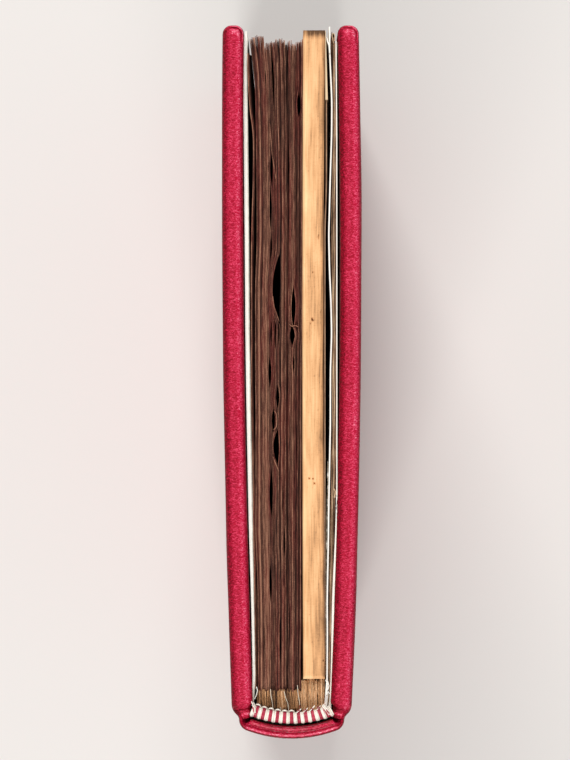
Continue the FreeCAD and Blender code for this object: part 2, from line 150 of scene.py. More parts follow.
# Gaps between leaves: (column, upper row, lower row, width) in photo pixels, and how much of the width
# lies to the right of the column
LEAF_GAPS = ((265.7, 55, 100, 1.3, 0.5), (272.8, 42, 104, 2.0, 0.5), (298.9, 90, 117, 3.9, 0.5),
             (272.1, 150, 186, 3.0, 0.3), (270.4, 186, 230, 2.2, 0.5), (271.4, 234, 262, 2.0, 0.5),
             (280.0, 252, 324, 8.2, 0.04), (293.0, 287, 327, 4.6, 0.6), (292.0, 325, 345, 5.4, 0.6),
             (271.5, 318, 346, 1.9, 0.5), (275.0, 316, 350, 2.2, 0.5), (278.4, 320, 345, 1.8, 0.5),
             (269.8, 357, 387, 3.3, 0.5), (277.5, 385, 409, 3.7, 0.5), (273.5, 409, 432, 3.4, 0.5),
             (278.0, 429, 465, 6.0, 0.2), (271.2, 467, 520, 3.6, 0.5), (283, 478, 519, 1.4, 0.5),
             (284.5, 526, 559, 1.4, 0.5), (293.5, 355, 372, 1.6, 0.5), (270.7, 564, 605, 2.6, 0.5),
             (262.6, 250, 300, 1.0, 0.5), (287.6, 140, 190, 1.2, 0.5), (297, 420, 470, 1.1, 0.5),
             (264, 620, 670, 1.2, 0.5), (290, 600, 650, 1.1, 0.5), (280.5, 620, 668, 1.3, 0.5))

# Pale leaves and scraps that stand out from the block, as lines in photo pixels
PALE_LEAVES = (((269.6, 122), (272.1, 153), (275.7, 178)), ((277.1, 61), (277.9, 122), (279, 150)),
               ((272.9, 457), (275.6, 464), (278.9, 472)),
               ((274.3, 411), (276.4, 414), (276.9, 420), (276.4, 427), (273.6, 430)),
               ((289.2, 324), (292, 326.4), (295, 325), (298, 326.6)),
               ((272.6, 296), (273.9, 306), (276.6, 314), (279, 321)))

# Worm holes in the old board: (column, row, radius across, radius along) in photo pixels
WORM_HOLES = ((318.2, 236.7, 0.6, 2.6), (306.8, 254, 0.5, 0.7), (312.9, 272, 0.6, 0.8),
              (320.7, 312, 0.5, 1.0), (312.3, 319.0, 0.8, 1.5), (312.9, 320.4, 0.8, 1.2),
              (310.6, 323.4, 0.6, 0.9), (309.3, 478.6, 0.8, 1.0), (312.9, 479, 0.7, 0.8),
              (314.3, 483.6, 0.8, 1.1), (321, 563, 0.5, 0.7), (309, 615, 0.5, 0.7), (322, 661, 0.7, 1.1))

# Threads that strayed from the headband over the guards, as lines in photo pixels, and if they are red
STRAY_THREADS = ((((273, 712), (272.4, 704), (270.9, 697), (270.5, 690)), False),
                 (((280.6, 713), (280.9, 710), (280.4, 708)), False),
                 (((289, 713), (287.8, 704), (285.4, 698), (284, 692)), False),
                 (((299.8, 706), (299.4, 702), (298, 694), (297.5, 686)), False),
                 (((300, 714), (300, 710), (299.8, 706)), True))

# The photo's view: camera above the head in mm, middle of the picture and its width in photo pixels
CAMERA_HEIGHT = 1000.0
VIEW_CENTRE = (285, 380)
VIEW_WIDTH = 570


def on_book(points):
    """Photo pixels turned into X and Y on the head of the book."""
    points = np.asarray(points, float)
    return np.stack([(points[..., 0] - MIDDLE[0]) * PIXEL, (MIDDLE[1] - points[..., 1]) * PIXEL], axis=-1)


def smooth_path(points, step):
    """A rounded line through the points, with a point every step."""
    points = np.asarray(points, float)
    run = np.concatenate([[0], np.cumsum(np.linalg.norm(np.diff(points, axis=0), axis=1))])
    count = max(4, int(run[-1] / step) + 1)
    fine = np.linspace(0, run[-1], 8 * count)
    line = np.stack([np.interp(fine, run, points[:, k]) for k in range(points.shape[1])], axis=1)
    reach = max(1, int(0.35 * len(fine) / len(points)))
    weights = np.hanning(2 * reach + 3)[1:-1]
    weights /= weights.sum()
    padded = np.concatenate([2 * line[0] - line[reach:0:-1], line, 2 * line[-1] - line[-2:-reach - 2:-1]])
    line = np.stack([np.convolve(padded[:, k], weights, "valid") for k in range(points.shape[1])], axis=1)
    return line[np.linspace(0, len(line) - 1, count).astype(int)]


def photo_path(points, step=1.2):
    """A rounded line on the head of the book through photo pixels."""
    return smooth_path(on_book(points), step)


def x_along(points, y):
    """X at each y of a line of photo pixels that runs from the fore edge to the spine."""
    line = photo_path(points, 1.0)
    order = np.argsort(line[:, 1])
    return np.interp(y, line[order, 1], line[order, 0])


def shifted(path, dx):
    """A plan line moved along X by dx, one value or one for each point."""
    return path + np.column_stack([np.broadcast_to(dx, len(path)), np.zeros(len(path))])


def waves(rng, place, lengths, height):
    """A smooth random line: one wave for each length."""
    line = np.zeros(len(place))
    for length in lengths:
        line += np.sin(2 * math.pi * (place / length + rng.random())) * rng.uniform(0.6, 1.0)
    return line * height / math.sqrt(len(lengths))


def ease(value, low, high):
    """0 below low, 1 above high and a smooth turn between."""
    t = np.clip((value - low) / (high - low), 0, 1)
    return t * t * (3 - 2 * t)


def outer_x(name, y):
    """X of a cover's outer face, at +X; the back cover is mirrored afterwards."""
    bow = BOWS[name]
    lean = 4 * math.sqrt(bow * COVER_BULGE) - 4 * bow
    t = (y - JOINT) / (FORE - JOINT)
    return JOINT_X + lean * t + 4 * bow * t * (1 - t)


def quads(index):
    """Faces between the neighbours in rows and columns of point numbers."""
    faces = np.stack([index[:-1, :-1], index[:-1, 1:], index[1:, 1:], index[1:, :-1]], axis=-1)
    return faces.reshape(-1, 4).tolist()


def border(grid):
    """The border of a grid, once round."""
    return np.concatenate([grid[:, 0], grid[-1, 1:], grid[::-1, -1][1:], grid[0, ::-1][1:-1]])


class Shape:
    """Points, faces and a tone for each point, gathered into one mesh."""

    def __init__(self):
        self.points, self.tones, self.faces, self.count, self.polish = [], [], [], 0, None

    def add(self, points, faces, tone):
        """Points with the faces between them; tone is one value or one for each point."""
        points = points.reshape(-1, 3)
        self.faces += [[number + self.count for number in face] for face in faces]
        self.points.append(points)
        self.tones.append(np.broadcast_to(tone, len(points)))
        self.count += len(points)

    def grid(self, points, tone, wrap=False, caps=False):
        """Rows and columns of points; wrap joins the last column to the first, caps closes both ends, and
        tone is one value, one for each row or one for each point."""
        rows, columns = points.shape[:2]
        index = np.arange(rows * columns).reshape(rows, columns)
        if wrap:
            index = np.concatenate([index, index[:, :1]], axis=1)
        faces = quads(index)
        if caps:
            faces += [list(range(columns))[::-1], [(rows - 1) * columns + k for k in range(columns)]]
        if np.ndim(tone) == 1:
            tone = np.repeat(tone, columns)
        self.add(points, faces, np.reshape(tone, -1))

    def ribbon(self, path, thickness, low, high, tone, levels=(0, 0.5, 0.88, 0.965, 0.985, 1), sway=0.0,
               pressed=0.0):
        """A leaf that stands on the plan line path, half its thickness to each side. Further down it sways
        along X, and a pressed leaf is thicker there, so that it touches the next one."""
        along = np.gradient(path, axis=0)
        along /= np.linalg.norm(along, axis=1)[:, None]
        across = np.stack([-along[:, 1], along[:, 0]], axis=1) / 2
        thickness = np.broadcast_to(thickness, len(path))[:, None]
        high = np.broadcast_to(high, len(path))
        loop = []
        for side, level in [(1, level) for level in levels] + [(-1, level) for level in reversed(levels)]:
            place = path + side * across * (thickness + pressed * (level < 0.97))
            place[:, 0] += sway * (1 - level)
            loop.append(np.column_stack([place, low + (high - low) * level]))
        self.grid(np.stack(loop, axis=1), tone, wrap=True, caps=True)

    def scrap(self, points, step, thickness, depth, rise, tone=0.7):
        """A torn strip along photo pixels, from depth below the leaves' head to rise above it."""
        self.ribbon(photo_path(points, step), thickness, LEAF_HEAD - depth, LEAF_HEAD + rise, tone)

    def tube(self, path, radius, tone):
        """A six-sided thread along path, not turned round itself from ring to ring."""
        along = np.gradient(path, axis=0)
        along /= np.linalg.norm(along, axis=1)[:, None]
        side = np.cross(along[0], (0.31, 0.17, 0.93))
        turn = np.arange(6) * 2 * math.pi / 6
        rings = []
        for point, way in zip(path, along):
            side = side - way * side.dot(way)
            side /= np.linalg.norm(side)
            other = np.cross(way, side)
            rings.append(point + radius * (np.cos(turn)[:, None] * side + np.sin(turn)[:, None] * other))
        self.grid(np.array(rings), tone, wrap=True, caps=True)

    def build(self, name, material, crease=38.0):
        """One smooth mesh, with sharp edges where the faces turn by more than crease degrees."""
        mesh = bpy.data.meshes.new(name)
        mesh.from_pydata((np.concatenate(self.points) * MM).tolist(), [], self.faces)
        for key, values in (("tone", np.concatenate(self.tones)), ("polish", self.polish)):
            if values is not None:
                made = mesh.attributes.new(key, "FLOAT", "POINT")
                made.data.foreach_set("value", values.astype(np.float32))
        work = bmesh.new()
        work.from_mesh(mesh)
        bmesh.ops.recalc_face_normals(work, faces=work.faces)
        work.to_mesh(mesh)
        work.free()
        mesh.shade_smooth()
        mesh.set_sharp_from_angle(angle=math.radians(crease))
        mesh.materials.append(material)
        made = bpy.data.objects.new(name, mesh)
        bpy.context.scene.collection.objects.link(made)
        return made


def linear(colour):
    """An sRGB hex colour as the linear colour that Blender works in."""
    parts = [int(colour[k:k + 2], 16) / 255 for k in (1, 3, 5)]
    return [v / 12.92 if v <= 0.04045 else ((v + 0.055) / 1.055) ** 2.4 for v in parts] + [1.0]


def feed(tree, made, inputs):
    """Gives each input of a node its value or its link."""
    for socket, value in inputs.items():
        if isinstance(value, bpy.types.NodeSocket):
            tree.links.new(value, made.inputs[socket])
        else:
            made.inputs[socket].default_value = value


def node(tree, kind, inputs=None, **settings):
    """Adds a node with its settings and its values or links."""
    made = tree.nodes.new(kind)
    for key, value in settings.items():
        setattr(made, key, value)
    feed(tree, made, inputs or {})
    return made


def new_material(name):
    """A material with its node tree, its shader and its place on the book in millimetres."""
    material = bpy.data.materials.new(name)
    material.use_nodes = True
    tree = material.node_tree
    tree.nodes.clear()
    shader = node(tree, "ShaderNodeBsdfPrincipled")
    node(tree, "ShaderNodeOutputMaterial", {"Surface": shader.outputs["BSDF"]})
    place = node(tree, "ShaderNodeTexCoord").outputs["Object"]
    return material, tree, shader, vectors(tree, place, 3 * (1 / MM,))


def vectors(tree, first, second, operation="MULTIPLY"):
    """Two vectors multiplied or added."""
    return node(tree, "ShaderNodeVectorMath", {0: first, 1: second}, operation=operation).outputs[0]


def noise(tree, place, size, detail=2.0, stretch=(1, 1, 1), roughness=0.5):
    """Noise whose features are about size mm across, longer where stretch is over 1."""
    moved = vectors(tree, place, tuple(1 / (size * s) for s in stretch))
    return node(tree, "ShaderNodeTexNoise", {"Vector": moved, "Scale": 1.0, "Detail": detail,
                                             "Roughness": roughness}).outputs["Fac"]


def ramp(tree, value, stops):
    """A colour ramp: stops are (place, hex colour)."""
    made = node(tree, "ShaderNodeValToRGB", {"Fac": value})
    for k, (place, colour) in enumerate(stops):
        stop = made.color_ramp.elements[k] if k < 2 else made.color_ramp.elements.new(place)
        stop.position = place
        stop.color = linear(colour) if isinstance(colour, str) else [*colour, 1.0]
    return made.outputs["Color"]


def spread(tree, value, low, high, out_low=0.0, out_high=1.0):
    """value from low..high moved to out_low..out_high."""
    return node(tree, "ShaderNodeMapRange", {"Value": value, "From Min": low, "From Max": high,
                                             "To Min": out_low, "To Max": out_high}).outputs["Result"]


def total(tree, first, second, operation="ADD"):
    """Two values added, or taken together by another operation."""
    return node(tree, "ShaderNodeMath", {0: first, 1: second}, operation=operation).outputs[0]


def varied(tree, value, *parts):
    """value with each part added; a part is (source, low, high, out_low, out_high), as spread takes them."""
    for part in parts:
        value = total(tree, value, spread(tree, *part))
    return value


def mixed(tree, share, first, second):
    """Two colours mixed. Inputs 6 and 7 and output 2 are this node's colours."""
    return node(tree, "ShaderNodeMix", {0: share, 6: first, 7: second}, data_type="RGBA").outputs[2]


def attribute(tree, name="tone"):
    """A value that each point of the mesh carries."""
    return node(tree, "ShaderNodeAttribute", attribute_name=name).outputs["Fac"]


def bump(tree, shader, height, distance, strength):
    """Raises the surface by height times distance, in mm."""
    made = node(tree, "ShaderNodeBump", {"Height": height, "Distance": distance * MM, "Strength": strength})
    tree.links.new(made.outputs["Normal"], shader.inputs["Normal"])


def goatskin(name, deep, mid, light, grain):
    """Aniline-dyed goatskin, boarded by hand and paste-dressed: fine pebbles with painted shade in the
    furrows, short pale lines painted along their flanks as highlights, and a duller bloom over wide areas."""
    material, tree, shader, place = new_material(name)
    warp = node(tree, "ShaderNodeTexNoise", {"Vector": place, "Scale": 0.9, "Detail": 2.0}).outputs["Color"]
    bent = vectors(tree, warp, (1.1, 1.1, 1.1))
    moved = vectors(tree, vectors(tree, place, (0.75, 1.35, 1.2)), bent, "ADD")
    cells = node(tree, "ShaderNodeTexVoronoi", {"Vector": moved, "Scale": 1 / grain, "Smoothness": 0.35},
                 feature="SMOOTH_F1").outputs["Distance"]
    pebbles = spread(tree, cells, 0.1, 0.75, 1.0, 0.0)
    ridges = noise(tree, moved, 0.46, 1.5, (1.5, 0.8, 1))
    creases = total(tree, total(tree, ridges, 0.5, "SUBTRACT"), 0.0, "ABSOLUTE")
    lines = spread(tree, creases, 0.0, 0.06, 1.0, 0.0)
    fine = noise(tree, place, 0.16, 3.0)
    broad = noise(tree, place, 11.0, 3.0)
    # Pebble tops lighter and furrows darker as painted shade, and the pale lines as painted highlights
    tint = total(tree, total(tree, pebbles, 0.16, "MULTIPLY"), total(tree, lines, 0.46, "MULTIPLY"))
    tint = varied(tree, tint, (fine, 0.3, 0.7, 0.18, 0.31), (broad, 0.3, 0.7, -0.04, 0.04),
                  (attribute(tree), 0.0, 1.0, -0.5, 0.5))
    # The palest stop is a painted highlight, reached on the ridges of the caps and on the pale lines
    colour = ramp(tree, tint, ((0.0, deep), (0.42, mid), (0.88, light), (1.0, "#f8a6b6")))
    polish = attribute(tree, "polish")
    dull = spread(tree, pebbles, 0.0, 1.0, 0.62, 0.5)
    rough = total(tree, dull, total(tree, polish, 0.24, "MULTIPLY"), "SUBTRACT")
    feed(tree, shader, {"Base Color": colour, "Roughness": rough, "Specular IOR Level": 0.16})
    height = total(tree, pebbles, total(tree, fine, 0.4, "MULTIPLY"))
    bump(tree, shader, total(tree, height, spread(tree, polish, 0.0, 1.0, 1.0, 0.25), "MULTIPLY"), 0.075, 0.9)
    return material


def paper(name, dark, mid, light, streak=(1, 1, 1), size=1.2, contrast=1.0, blush=None):
    """Rag paper, sized and cut: matt, a little mottled, darker where damp and handling stained it."""
    material, tree, shader, place = new_material(name)
    mottle = noise(tree, place, size, 4.0, streak, 0.6)
    stains = noise(tree, place, 14.0, 2.0, streak)
    fibre = noise(tree, place, 0.17, 2.0)
    value = attribute(tree)
    for source, amount in ((mottle, 0.22), (stains, 0.14), (fibre, 0.14)):
        value = varied(tree, value, (source, 0.3, 0.7, -amount * contrast, amount * contrast))
    colour = ramp(tree, value, ((0.0, dark), (0.5, mid), (1.0, light)))
    if blush:
        patches = spread(tree, noise(tree, place, 1.1, 3.0, (1, 22, 60)), 0.44, 0.6)
        colour = mixed(tree, patches, colour, ramp(tree, value, ((0.0, dark), (0.5, blush), (1.0, light))))
    feed(tree, shader, {"Base Color": colour, "Roughness": 0.85, "Specular IOR Level": 0.25})
    bump(tree, shader, total(tree, mottle, fibre), 0.05, 0.5)
    return material


def old_wood(name, dark, mid, light):
    """Quarter-sawn hardwood board, planed long ago and left bare: soft growth bands, pores and a dark rim."""
    material, tree, shader, place = new_material(name)
    bands = noise(tree, place, 0.9, 2.0, (0.35, 9, 60))
    wide = noise(tree, place, 5.0, 2.0, (0.5, 2.4, 20))
    rays = noise(tree, place, 0.35, 2.0, (2.5, 0.5, 30))
    pores = noise(tree, place, 0.16, 1.0, (1, 1.2, 30))
    value = varied(tree, attribute(tree), (bands, 0.3, 0.7, -0.16, 0.16), (wide, 0.35, 0.65, -0.09, 0.22),
                   (rays, 0.3, 0.7, -0.03, 0.03), (pores, 0.62, 0.75, 0.0, -0.14))
    colour = ramp(tree, value, ((0.0, dark), (0.5, mid), (1.0, light)))
    feed(tree, shader, {"Base Color": colour, "Roughness": 0.72, "Specular IOR Level": 0.3})
    bump(tree, shader, total(tree, pores, bands), 0.04, 0.3)
    return material


def silk(name, dark, light):
    """Twisted silk floss, wound by hand: a soft sheen along each strand, darker lines between strands."""
    material, tree, shader, place = new_material(name)
    twist = noise(tree, place, 0.09, 2.0)
    value = varied(tree, attribute(tree), (twist, 0.3, 0.7, -0.2, 0.2))
    feed(tree, shader, {"Base Color": ramp(tree, value, ((0.1, dark), (0.7, light))), "Roughness": 0.45,
                        "Sheen Weight": 0.4, "Sheen Roughness": 0.4})
    bump(tree, shader, twist, 0.03, 0.5)
    return material


def plain(name, colour, roughness, size, depth):
    """Card, cloth or vellum as it comes from the maker: one colour with a slight tooth."""
    material, tree, shader, place = new_material(name)
    tooth = noise(tree, place, size, 3.0)
    base = mixed(tree, spread(tree, tooth, 0.3, 0.7, 0.0, 0.3), linear(colour), linear("#8c7a60"))
    feed(tree, shader, {"Base Color": base, "Roughness": roughness})
    bump(tree, shader, tooth, depth, 0.5)
    return material


def pleat_rise(name, deep, y, from_end):
    """How far the pleat of leather stands up that follows the fore-edge end of a cover, at head and tail.
    It is stronger at the inner side of the back cover and at the outer side of the front cover."""
    half = (COVER_DEPTH + EDGE_BULGE) / 2
    across = np.abs(deep - half) - (half - EDGE_ROUND)
    end_y = y - (FORE - EDGE_ROUND)
    inside = EDGE_ROUND - np.hypot(np.maximum(across, 0), np.maximum(end_y, 0))
    inside = inside - np.minimum(np.maximum(across, end_y), 0)
    rise = 0.36 * np.exp(-((inside - 0.26) / 0.13) ** 2) - 0.32 * np.exp(-((inside - 0.56) / 0.13) ** 2)
    rise += 0.14 * np.exp(-((inside - 1.15) / 0.3) ** 2) * (end_y > -0.6)
    strong = ease(deep, -0.5, 3.0) if name == "back" else 0.75 - 0.55 * ease(deep, 1.0, 4.0)
    return rise * strong * ease(y, 70.4, 73.2) * (1 - ease(from_end, 1.1, 1.9))


def cover_skin(name):
    """Leather of one cover and of its joint, from the deepest line of the groove: one sheet whose outer
    face is a grid, and whose edges fold in at the head, the tail and the fore edge."""
    rng = np.random.default_rng(7 if name == "front" else 8)
    joint = smooth_path(JOINT_LINE, 0.16)
    slab = np.concatenate([np.arange(-67.7, -64, 0.5), np.arange(-64, 64, 1.6), np.arange(64, 70, 0.5),
                           np.linspace(70, FORE - EDGE_ROUND, 17)])
    base_x, base_y = np.concatenate([joint, np.stack([outer_x(name, slab), slab], axis=1)]).T
    in_joint = np.arange(len(base_y)) < len(joint)
    depth = np.interp(base_y, (-71, -70.6, -70.2, -69.4, -68.6, -68.4),
                      (2.3, 2.55, 2.8, 3.6, 4.0, COVER_DEPTH))
    bulge = EDGE_BULGE * ease(base_y, -68.6, -67)
    dip = np.interp(base_y, (-71, -70, -69.1, -68.6, -68.2), (0.45, 0.55, 1.3, 0.8, 0))
    middle = HEAD / 2
    scale = 1 - dip / middle
    near = np.concatenate([np.arange(0, 2, 0.2), np.arange(2, 8, 0.6)])
    heights = np.concatenate([EDGE_ROUND + near, np.linspace(EDGE_ROUND + 8, HEAD - EDGE_ROUND - 8, 76),
                              (HEAD - EDGE_ROUND - near)[::-1]])

    ys, zs = np.meshgrid(base_y, heights, indexing="ij")
    dents = np.zeros_like(ys)
    for _ in range(6):
        dents += (np.sin(ys / rng.uniform(4, 16) + rng.uniform(0, 6))
                  * np.sin(zs / rng.uniform(4, 20) + rng.uniform(0, 6)))
    dents = dents * 0.022 * ease(ys, -69.5, -64)
    outer = np.stack([base_x[:, None] + dents, ys, middle + (zs - middle) * scale[:, None]], axis=-1)

    # Steps round the edge, from the outer face to the end of the turn-in: (kind, inset, share of the kind)
    quarter = np.linspace(0, math.pi / 2, 15)[1:]
    steps = [("round out", EDGE_ROUND * (1 - math.sin(a)), 1 - math.cos(a)) for a in quarter]
    steps += [("flat", 0.0, share) for share in (0.25, 0.5, 0.75, 1.0)]
    steps += [("round in", EDGE_ROUND * (1 - math.cos(a)), math.sin(a)) for a in quarter]
    steps += [("turned in", inset, 1.0) for inset in (2.6, 4, 6.5, 10, TURN_IN)] + [("end", TURN_IN, 0.87)]
    half = np.minimum(EDGE_ROUND, depth / 2)
    full = depth + bulge
    rings, ring_tones = [], []
    for kind, inset, share in steps:
        z = half / EDGE_ROUND * inset
        if kind == "round out":
            deep = half * share
        elif kind == "flat":
            deep = half + (full - 2 * half) * share
        elif kind == "round in":
            deep = full - half + half * share
        else:
            deep, z = depth * share + bulge * 0.4 * (inset < 3), half * 0 + inset
        # The edges are drawn in over a length called room, so that the points of a step stay in order
        reach = FORE - inset
        room = 6.0 if inset <= EDGE_ROUND else 34.0
        y = base_y + (EDGE_ROUND - inset) * np.clip((base_y - (FORE - EDGE_ROUND - room)) / room, 0, 1)
        y = np.where(in_joint, y + JOINT_INWARD[1] * deep, y)
        tail_share = np.clip((room - (heights - EDGE_ROUND)) / room, 0, 1)
        head_share = np.clip((room - (HEAD - EDGE_ROUND - heights)) / room, 0, 1)
        z_side = heights - (EDGE_ROUND - inset) * tail_share + (EDGE_ROUND - inset) * head_share
        y_side = np.full(len(z_side), reach)
        radius = CORNER_ROUND - inset
        if radius > 0:
            turn = np.clip(1 - (reach - y) / radius, 0, 1) * math.pi / 4
            bend = reach - y < radius
            y = np.where(bend, reach - radius + radius * np.sin(turn), y)
            z = np.where(bend, inset + radius - radius * np.cos(turn), z)
            for at_head in (False, True):
                from_end = (HEAD - z_side if at_head else z_side) - inset
                turn = np.clip(1 - from_end / radius, 0, 1) * math.pi / 4
                bend = from_end < radius
                y_side = np.where(bend, reach - radius + radius * np.cos(turn), y_side)
                turned = inset + radius - radius * np.sin(turn)
                z_side = np.where(bend, HEAD - turned if at_head else turned, z_side)
        x = np.where(in_joint, base_x + JOINT_INWARD[0] * deep, outer_x(name, y) - deep)
        # Pleats at the ends, then the three runs of points: along the tail, up the fore edge, along the head
        pleat = pleat_rise(name, deep, y, z)
        rise = pleat_rise(name, deep[-1], y_side, np.minimum(z_side, HEAD - z_side))
        z_side = z_side + np.where(z_side > middle, rise, -rise)
        side = np.stack([outer_x(name, y_side) - deep[-1], y_side, z_side], axis=1)[1:-1]
        tail, head = [np.stack([x, y, middle + way * (z - pleat - middle) * scale], axis=1)
                      for way in (1, -1)]
        rings.append(np.concatenate([tail, side, head[::-1]]))
        # Painted light on the rounded edges: the outer edge of the back cover and the inner edge of the front
        # cover darken toward the side as painted shade; on the other two a paler band is a painted highlight,
        # with a little painted shade right at the side
        shade = 0.5
        if kind.startswith("round"):
            near = share if kind == "round out" else 1 - share
            if (kind == "round out") == (name == "back"):
                shade -= 0.27 * (1 - ease(near, 0.25, 0.95))
            else:
                shade += (0.17 * ease(near, 0.15, 0.5) * (1 - ease(near, 0.7, 1))
                          - 0.12 * (1 - ease(near, 0, 0.4)))
        # Painted light at the ends: the tone follows the pleat, a painted highlight on its rim and painted
        # shade in its groove; the leather darkens toward the joint as painted shade; a pale line on the joint
        # crease and a pale band just inside the fore-edge end are painted highlights
        crease = 0.5 * np.exp(-((y + 70.3 - 0.25 * deep) / 0.22) ** 2) * (deep > 0.3)
        painted_light_end_tone = shade + np.where(pleat > 0, 1.7, 1.2) * pleat - 0.25 * (1 - ease(y, -70.6, -68.2)) + crease
        painted_light_end_tone += 0.3 * np.exp(-((y - FORE + 1.5) / 0.7) ** 2) * (kind in ("flat", "turned in"))
        ring_tones.append(np.concatenate([painted_light_end_tone, shade + 1.3 * rise[1:-1], painted_light_end_tone[::-1]]))

    index = np.arange(ys.size).reshape(ys.shape)
    edge = np.concatenate([index[:, 0], index[-1, 1:-1], index[::-1, -1]])
    ring_index = ys.size + np.arange(len(rings) * len(edge)).reshape(len(rings), -1)
    points = np.concatenate([outer.reshape(-1, 3)] + rings)
    points[:, 0] *= 1 if name == "front" else -1
    shape = Shape()
    shape.add(points, quads(index) + quads(np.vstack([edge, ring_index])),
              np.concatenate([np.full(ys.size, 0.5)] + ring_tones))
    return shape


def spine_line():
    """Outer line of the spine leather in plan, with the inward direction at each point."""
    half = []
    for a in np.linspace(0, SPINE_ANGLE, 30)[:-1]:
        half.append((SPINE_RADIUS * math.sin(a), SPINE_CENTRE[1] - SPINE_RADIUS * math.cos(a),
                     -math.sin(a), math.cos(a)))
    for a in np.linspace(SPINE_ANGLE - math.pi / 2, 0, 18):
        half.append((SHOULDER[0] + SHOULDER_RADIUS * math.cos(a), SHOULDER[1] + SHOULDER_RADIUS * math.sin(a),
                     -math.cos(a), -math.sin(a)))
    for a in np.linspace(math.pi, math.radians(140), 7)[1:]:
        half.append((GROOVE[0] + GROOVE_RADIUS * math.cos(a), GROOVE[1] + GROOVE_RADIUS * math.sin(a),
                     math.cos(a), math.sin(a)))
    half = np.array(half)
    left = half[:0:-1] * (-1, 1, -1, 1)
    return np.concatenate([left, half])


def spine_skin():
    """Leather of the rounded back, folded over a cord at head and tail into the caps."""
    rng = np.random.default_rng(11)
    line = spine_line()
    x, y, nx, ny = line.T
    cap = 1 - ease(np.abs(x), 9.0, 11.1)
    fold, plain_fold = np.array(CAP_FOLD), np.array(PLAIN_FOLD)
    uneven = waves(rng, x, (17, 7.3, 3.1), 0.06)
    back_rows = 84
    column_points = []
    for end in (0, 1):
        for k in range(len(fold)) if end else range(len(fold) - 1, -1, -1):
            deep, high = plain_fold[k][:, None] + (fold[k] - plain_fold[k])[:, None] * cap
            ridge = uneven * (fold[k, 0] > 1.0) * (fold[k, 1] > 1.5)
            high = high + ridge - 0.35 * ease(np.abs(x), 9.8, 11)
            z = LEAF_HEAD + high if end else LEAF_TAIL - high
            column_points.append(np.stack([x + nx * deep, y + ny * deep, z], axis=1))
        if end == 0:
            for z in np.linspace(LEAF_TAIL - 0.8, LEAF_HEAD + 0.8, back_rows):
                dent = 0.02 * np.sin(z / 9 + x) + 0.015 * np.sin(z / 4.1 - 1.7 * x)
                column_points.append(np.stack([x + nx * dent, y + ny * dent, np.full(len(x), z)], axis=1))
    points = np.stack(column_points, axis=1)
    folded = ease(np.abs(points[..., 2] - HEAD / 2), HEAD / 2 - 2.2, HEAD / 2 - 0.9)
    # Painted light on the caps: the crest of the outer ridge and the inner ridge are painted highlights; the
    # rims, the groove and the turned-in leather are darker as painted shade
    cap_painted_light = np.interp(fold[:, 0], (0, 0.3, 0.5, 0.68, 0.86, 1.1, 1.6, 1.85, 2.05, 2.3, 2.6),
                          (0.1, 0.12, 0.5, 1.15, 0.6, 0.38, 0.42, 0.62, 0.5, 0.26, 0.12))
    cap_painted_light[len(fold) - 6:] = 0.12
    cap_painted_light[:2] = (0.5, 0.35)
    tone = np.concatenate([cap_painted_light[::-1], np.full(back_rows, 0.5), cap_painted_light])
    # Toward the shoulders the folded leather is held dark as painted shade
    tone = np.minimum(tone, 0.3 + (1 - folded) + ease(10.4 - np.abs(x), 0, 1.4)[:, None])
    shape = Shape()
    shape.grid(points, tone)
    shape.polish = folded.reshape(-1)
    return shape


class BookSizes(bpy.types.PropertyGroup):
    """Sizes of what is modelled here beyond the frame."""

    leaves: IntProperty(name="Leaves", description="Old leaves in the text block", default=62, min=20, max=90)
    grain: FloatProperty(name="Grain", description="Distance between grains of the goatskin",
                         default=0.55 * MM, unit="LENGTH")
    white_threads: IntProperty(name="White threads", description="Threads in each white wrap", default=5)
    red_threads: IntProperty(name="Red threads", description="Threads in each red wrap", default=4)


class BookColours(bpy.types.PropertyGroup):
    """Colours of the leather and the silks."""

    leather: FloatVectorProperty(name="Leather", description="Middle colour of the goatskin",
                                 default=linear("#b2082e")[:3], subtype="COLOR", size=3)
    red_silk: FloatVectorProperty(name="Red silk", description="Colour of the red silk",
                                  default=linear("#bd2c48")[:3], subtype="COLOR", size=3)


def finished(shape, name, material, replaced, crease=38.0):
    """Builds a piece that rides on the text block, in the place of a node if one is named."""
    piece = shape.build(name, material, crease)
    if replaced:
        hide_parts(replaced)
    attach(piece, "text_block")


class BOOK_OT_covers(bpy.types.Operator):
    """Leather of both covers and their joints"""

    bl_idname = "book.covers"
    bl_label = "Cover leather"

    def execute(self, context):
        leather = goatskin("Red goatskin, paste-dressed", "#5c000c",
                           context.scene.book_colours.leather, "#ea4c70",
                           context.scene.book_sizes.grain / MM)
        for name, side in (("front", 1), ("back", -1)):
            piece = cover_skin(name).build(name + "_leather_skin", leather)
            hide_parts(name + "_leather")
            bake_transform(piece)
        return {"FINISHED"}


class BOOK_OT_spine(bpy.types.Operator):
    """Leather of the spine with its two caps"""

    bl_idname = "book.spine"
    bl_label = "Spine leather"

    def execute(self, context):
        leather = bpy.data.materials["Red goatskin, paste-dressed"]
        finished(spine_skin(), "spine_leather_skin", leather, "spine_leather")
        return {"FINISHED"}


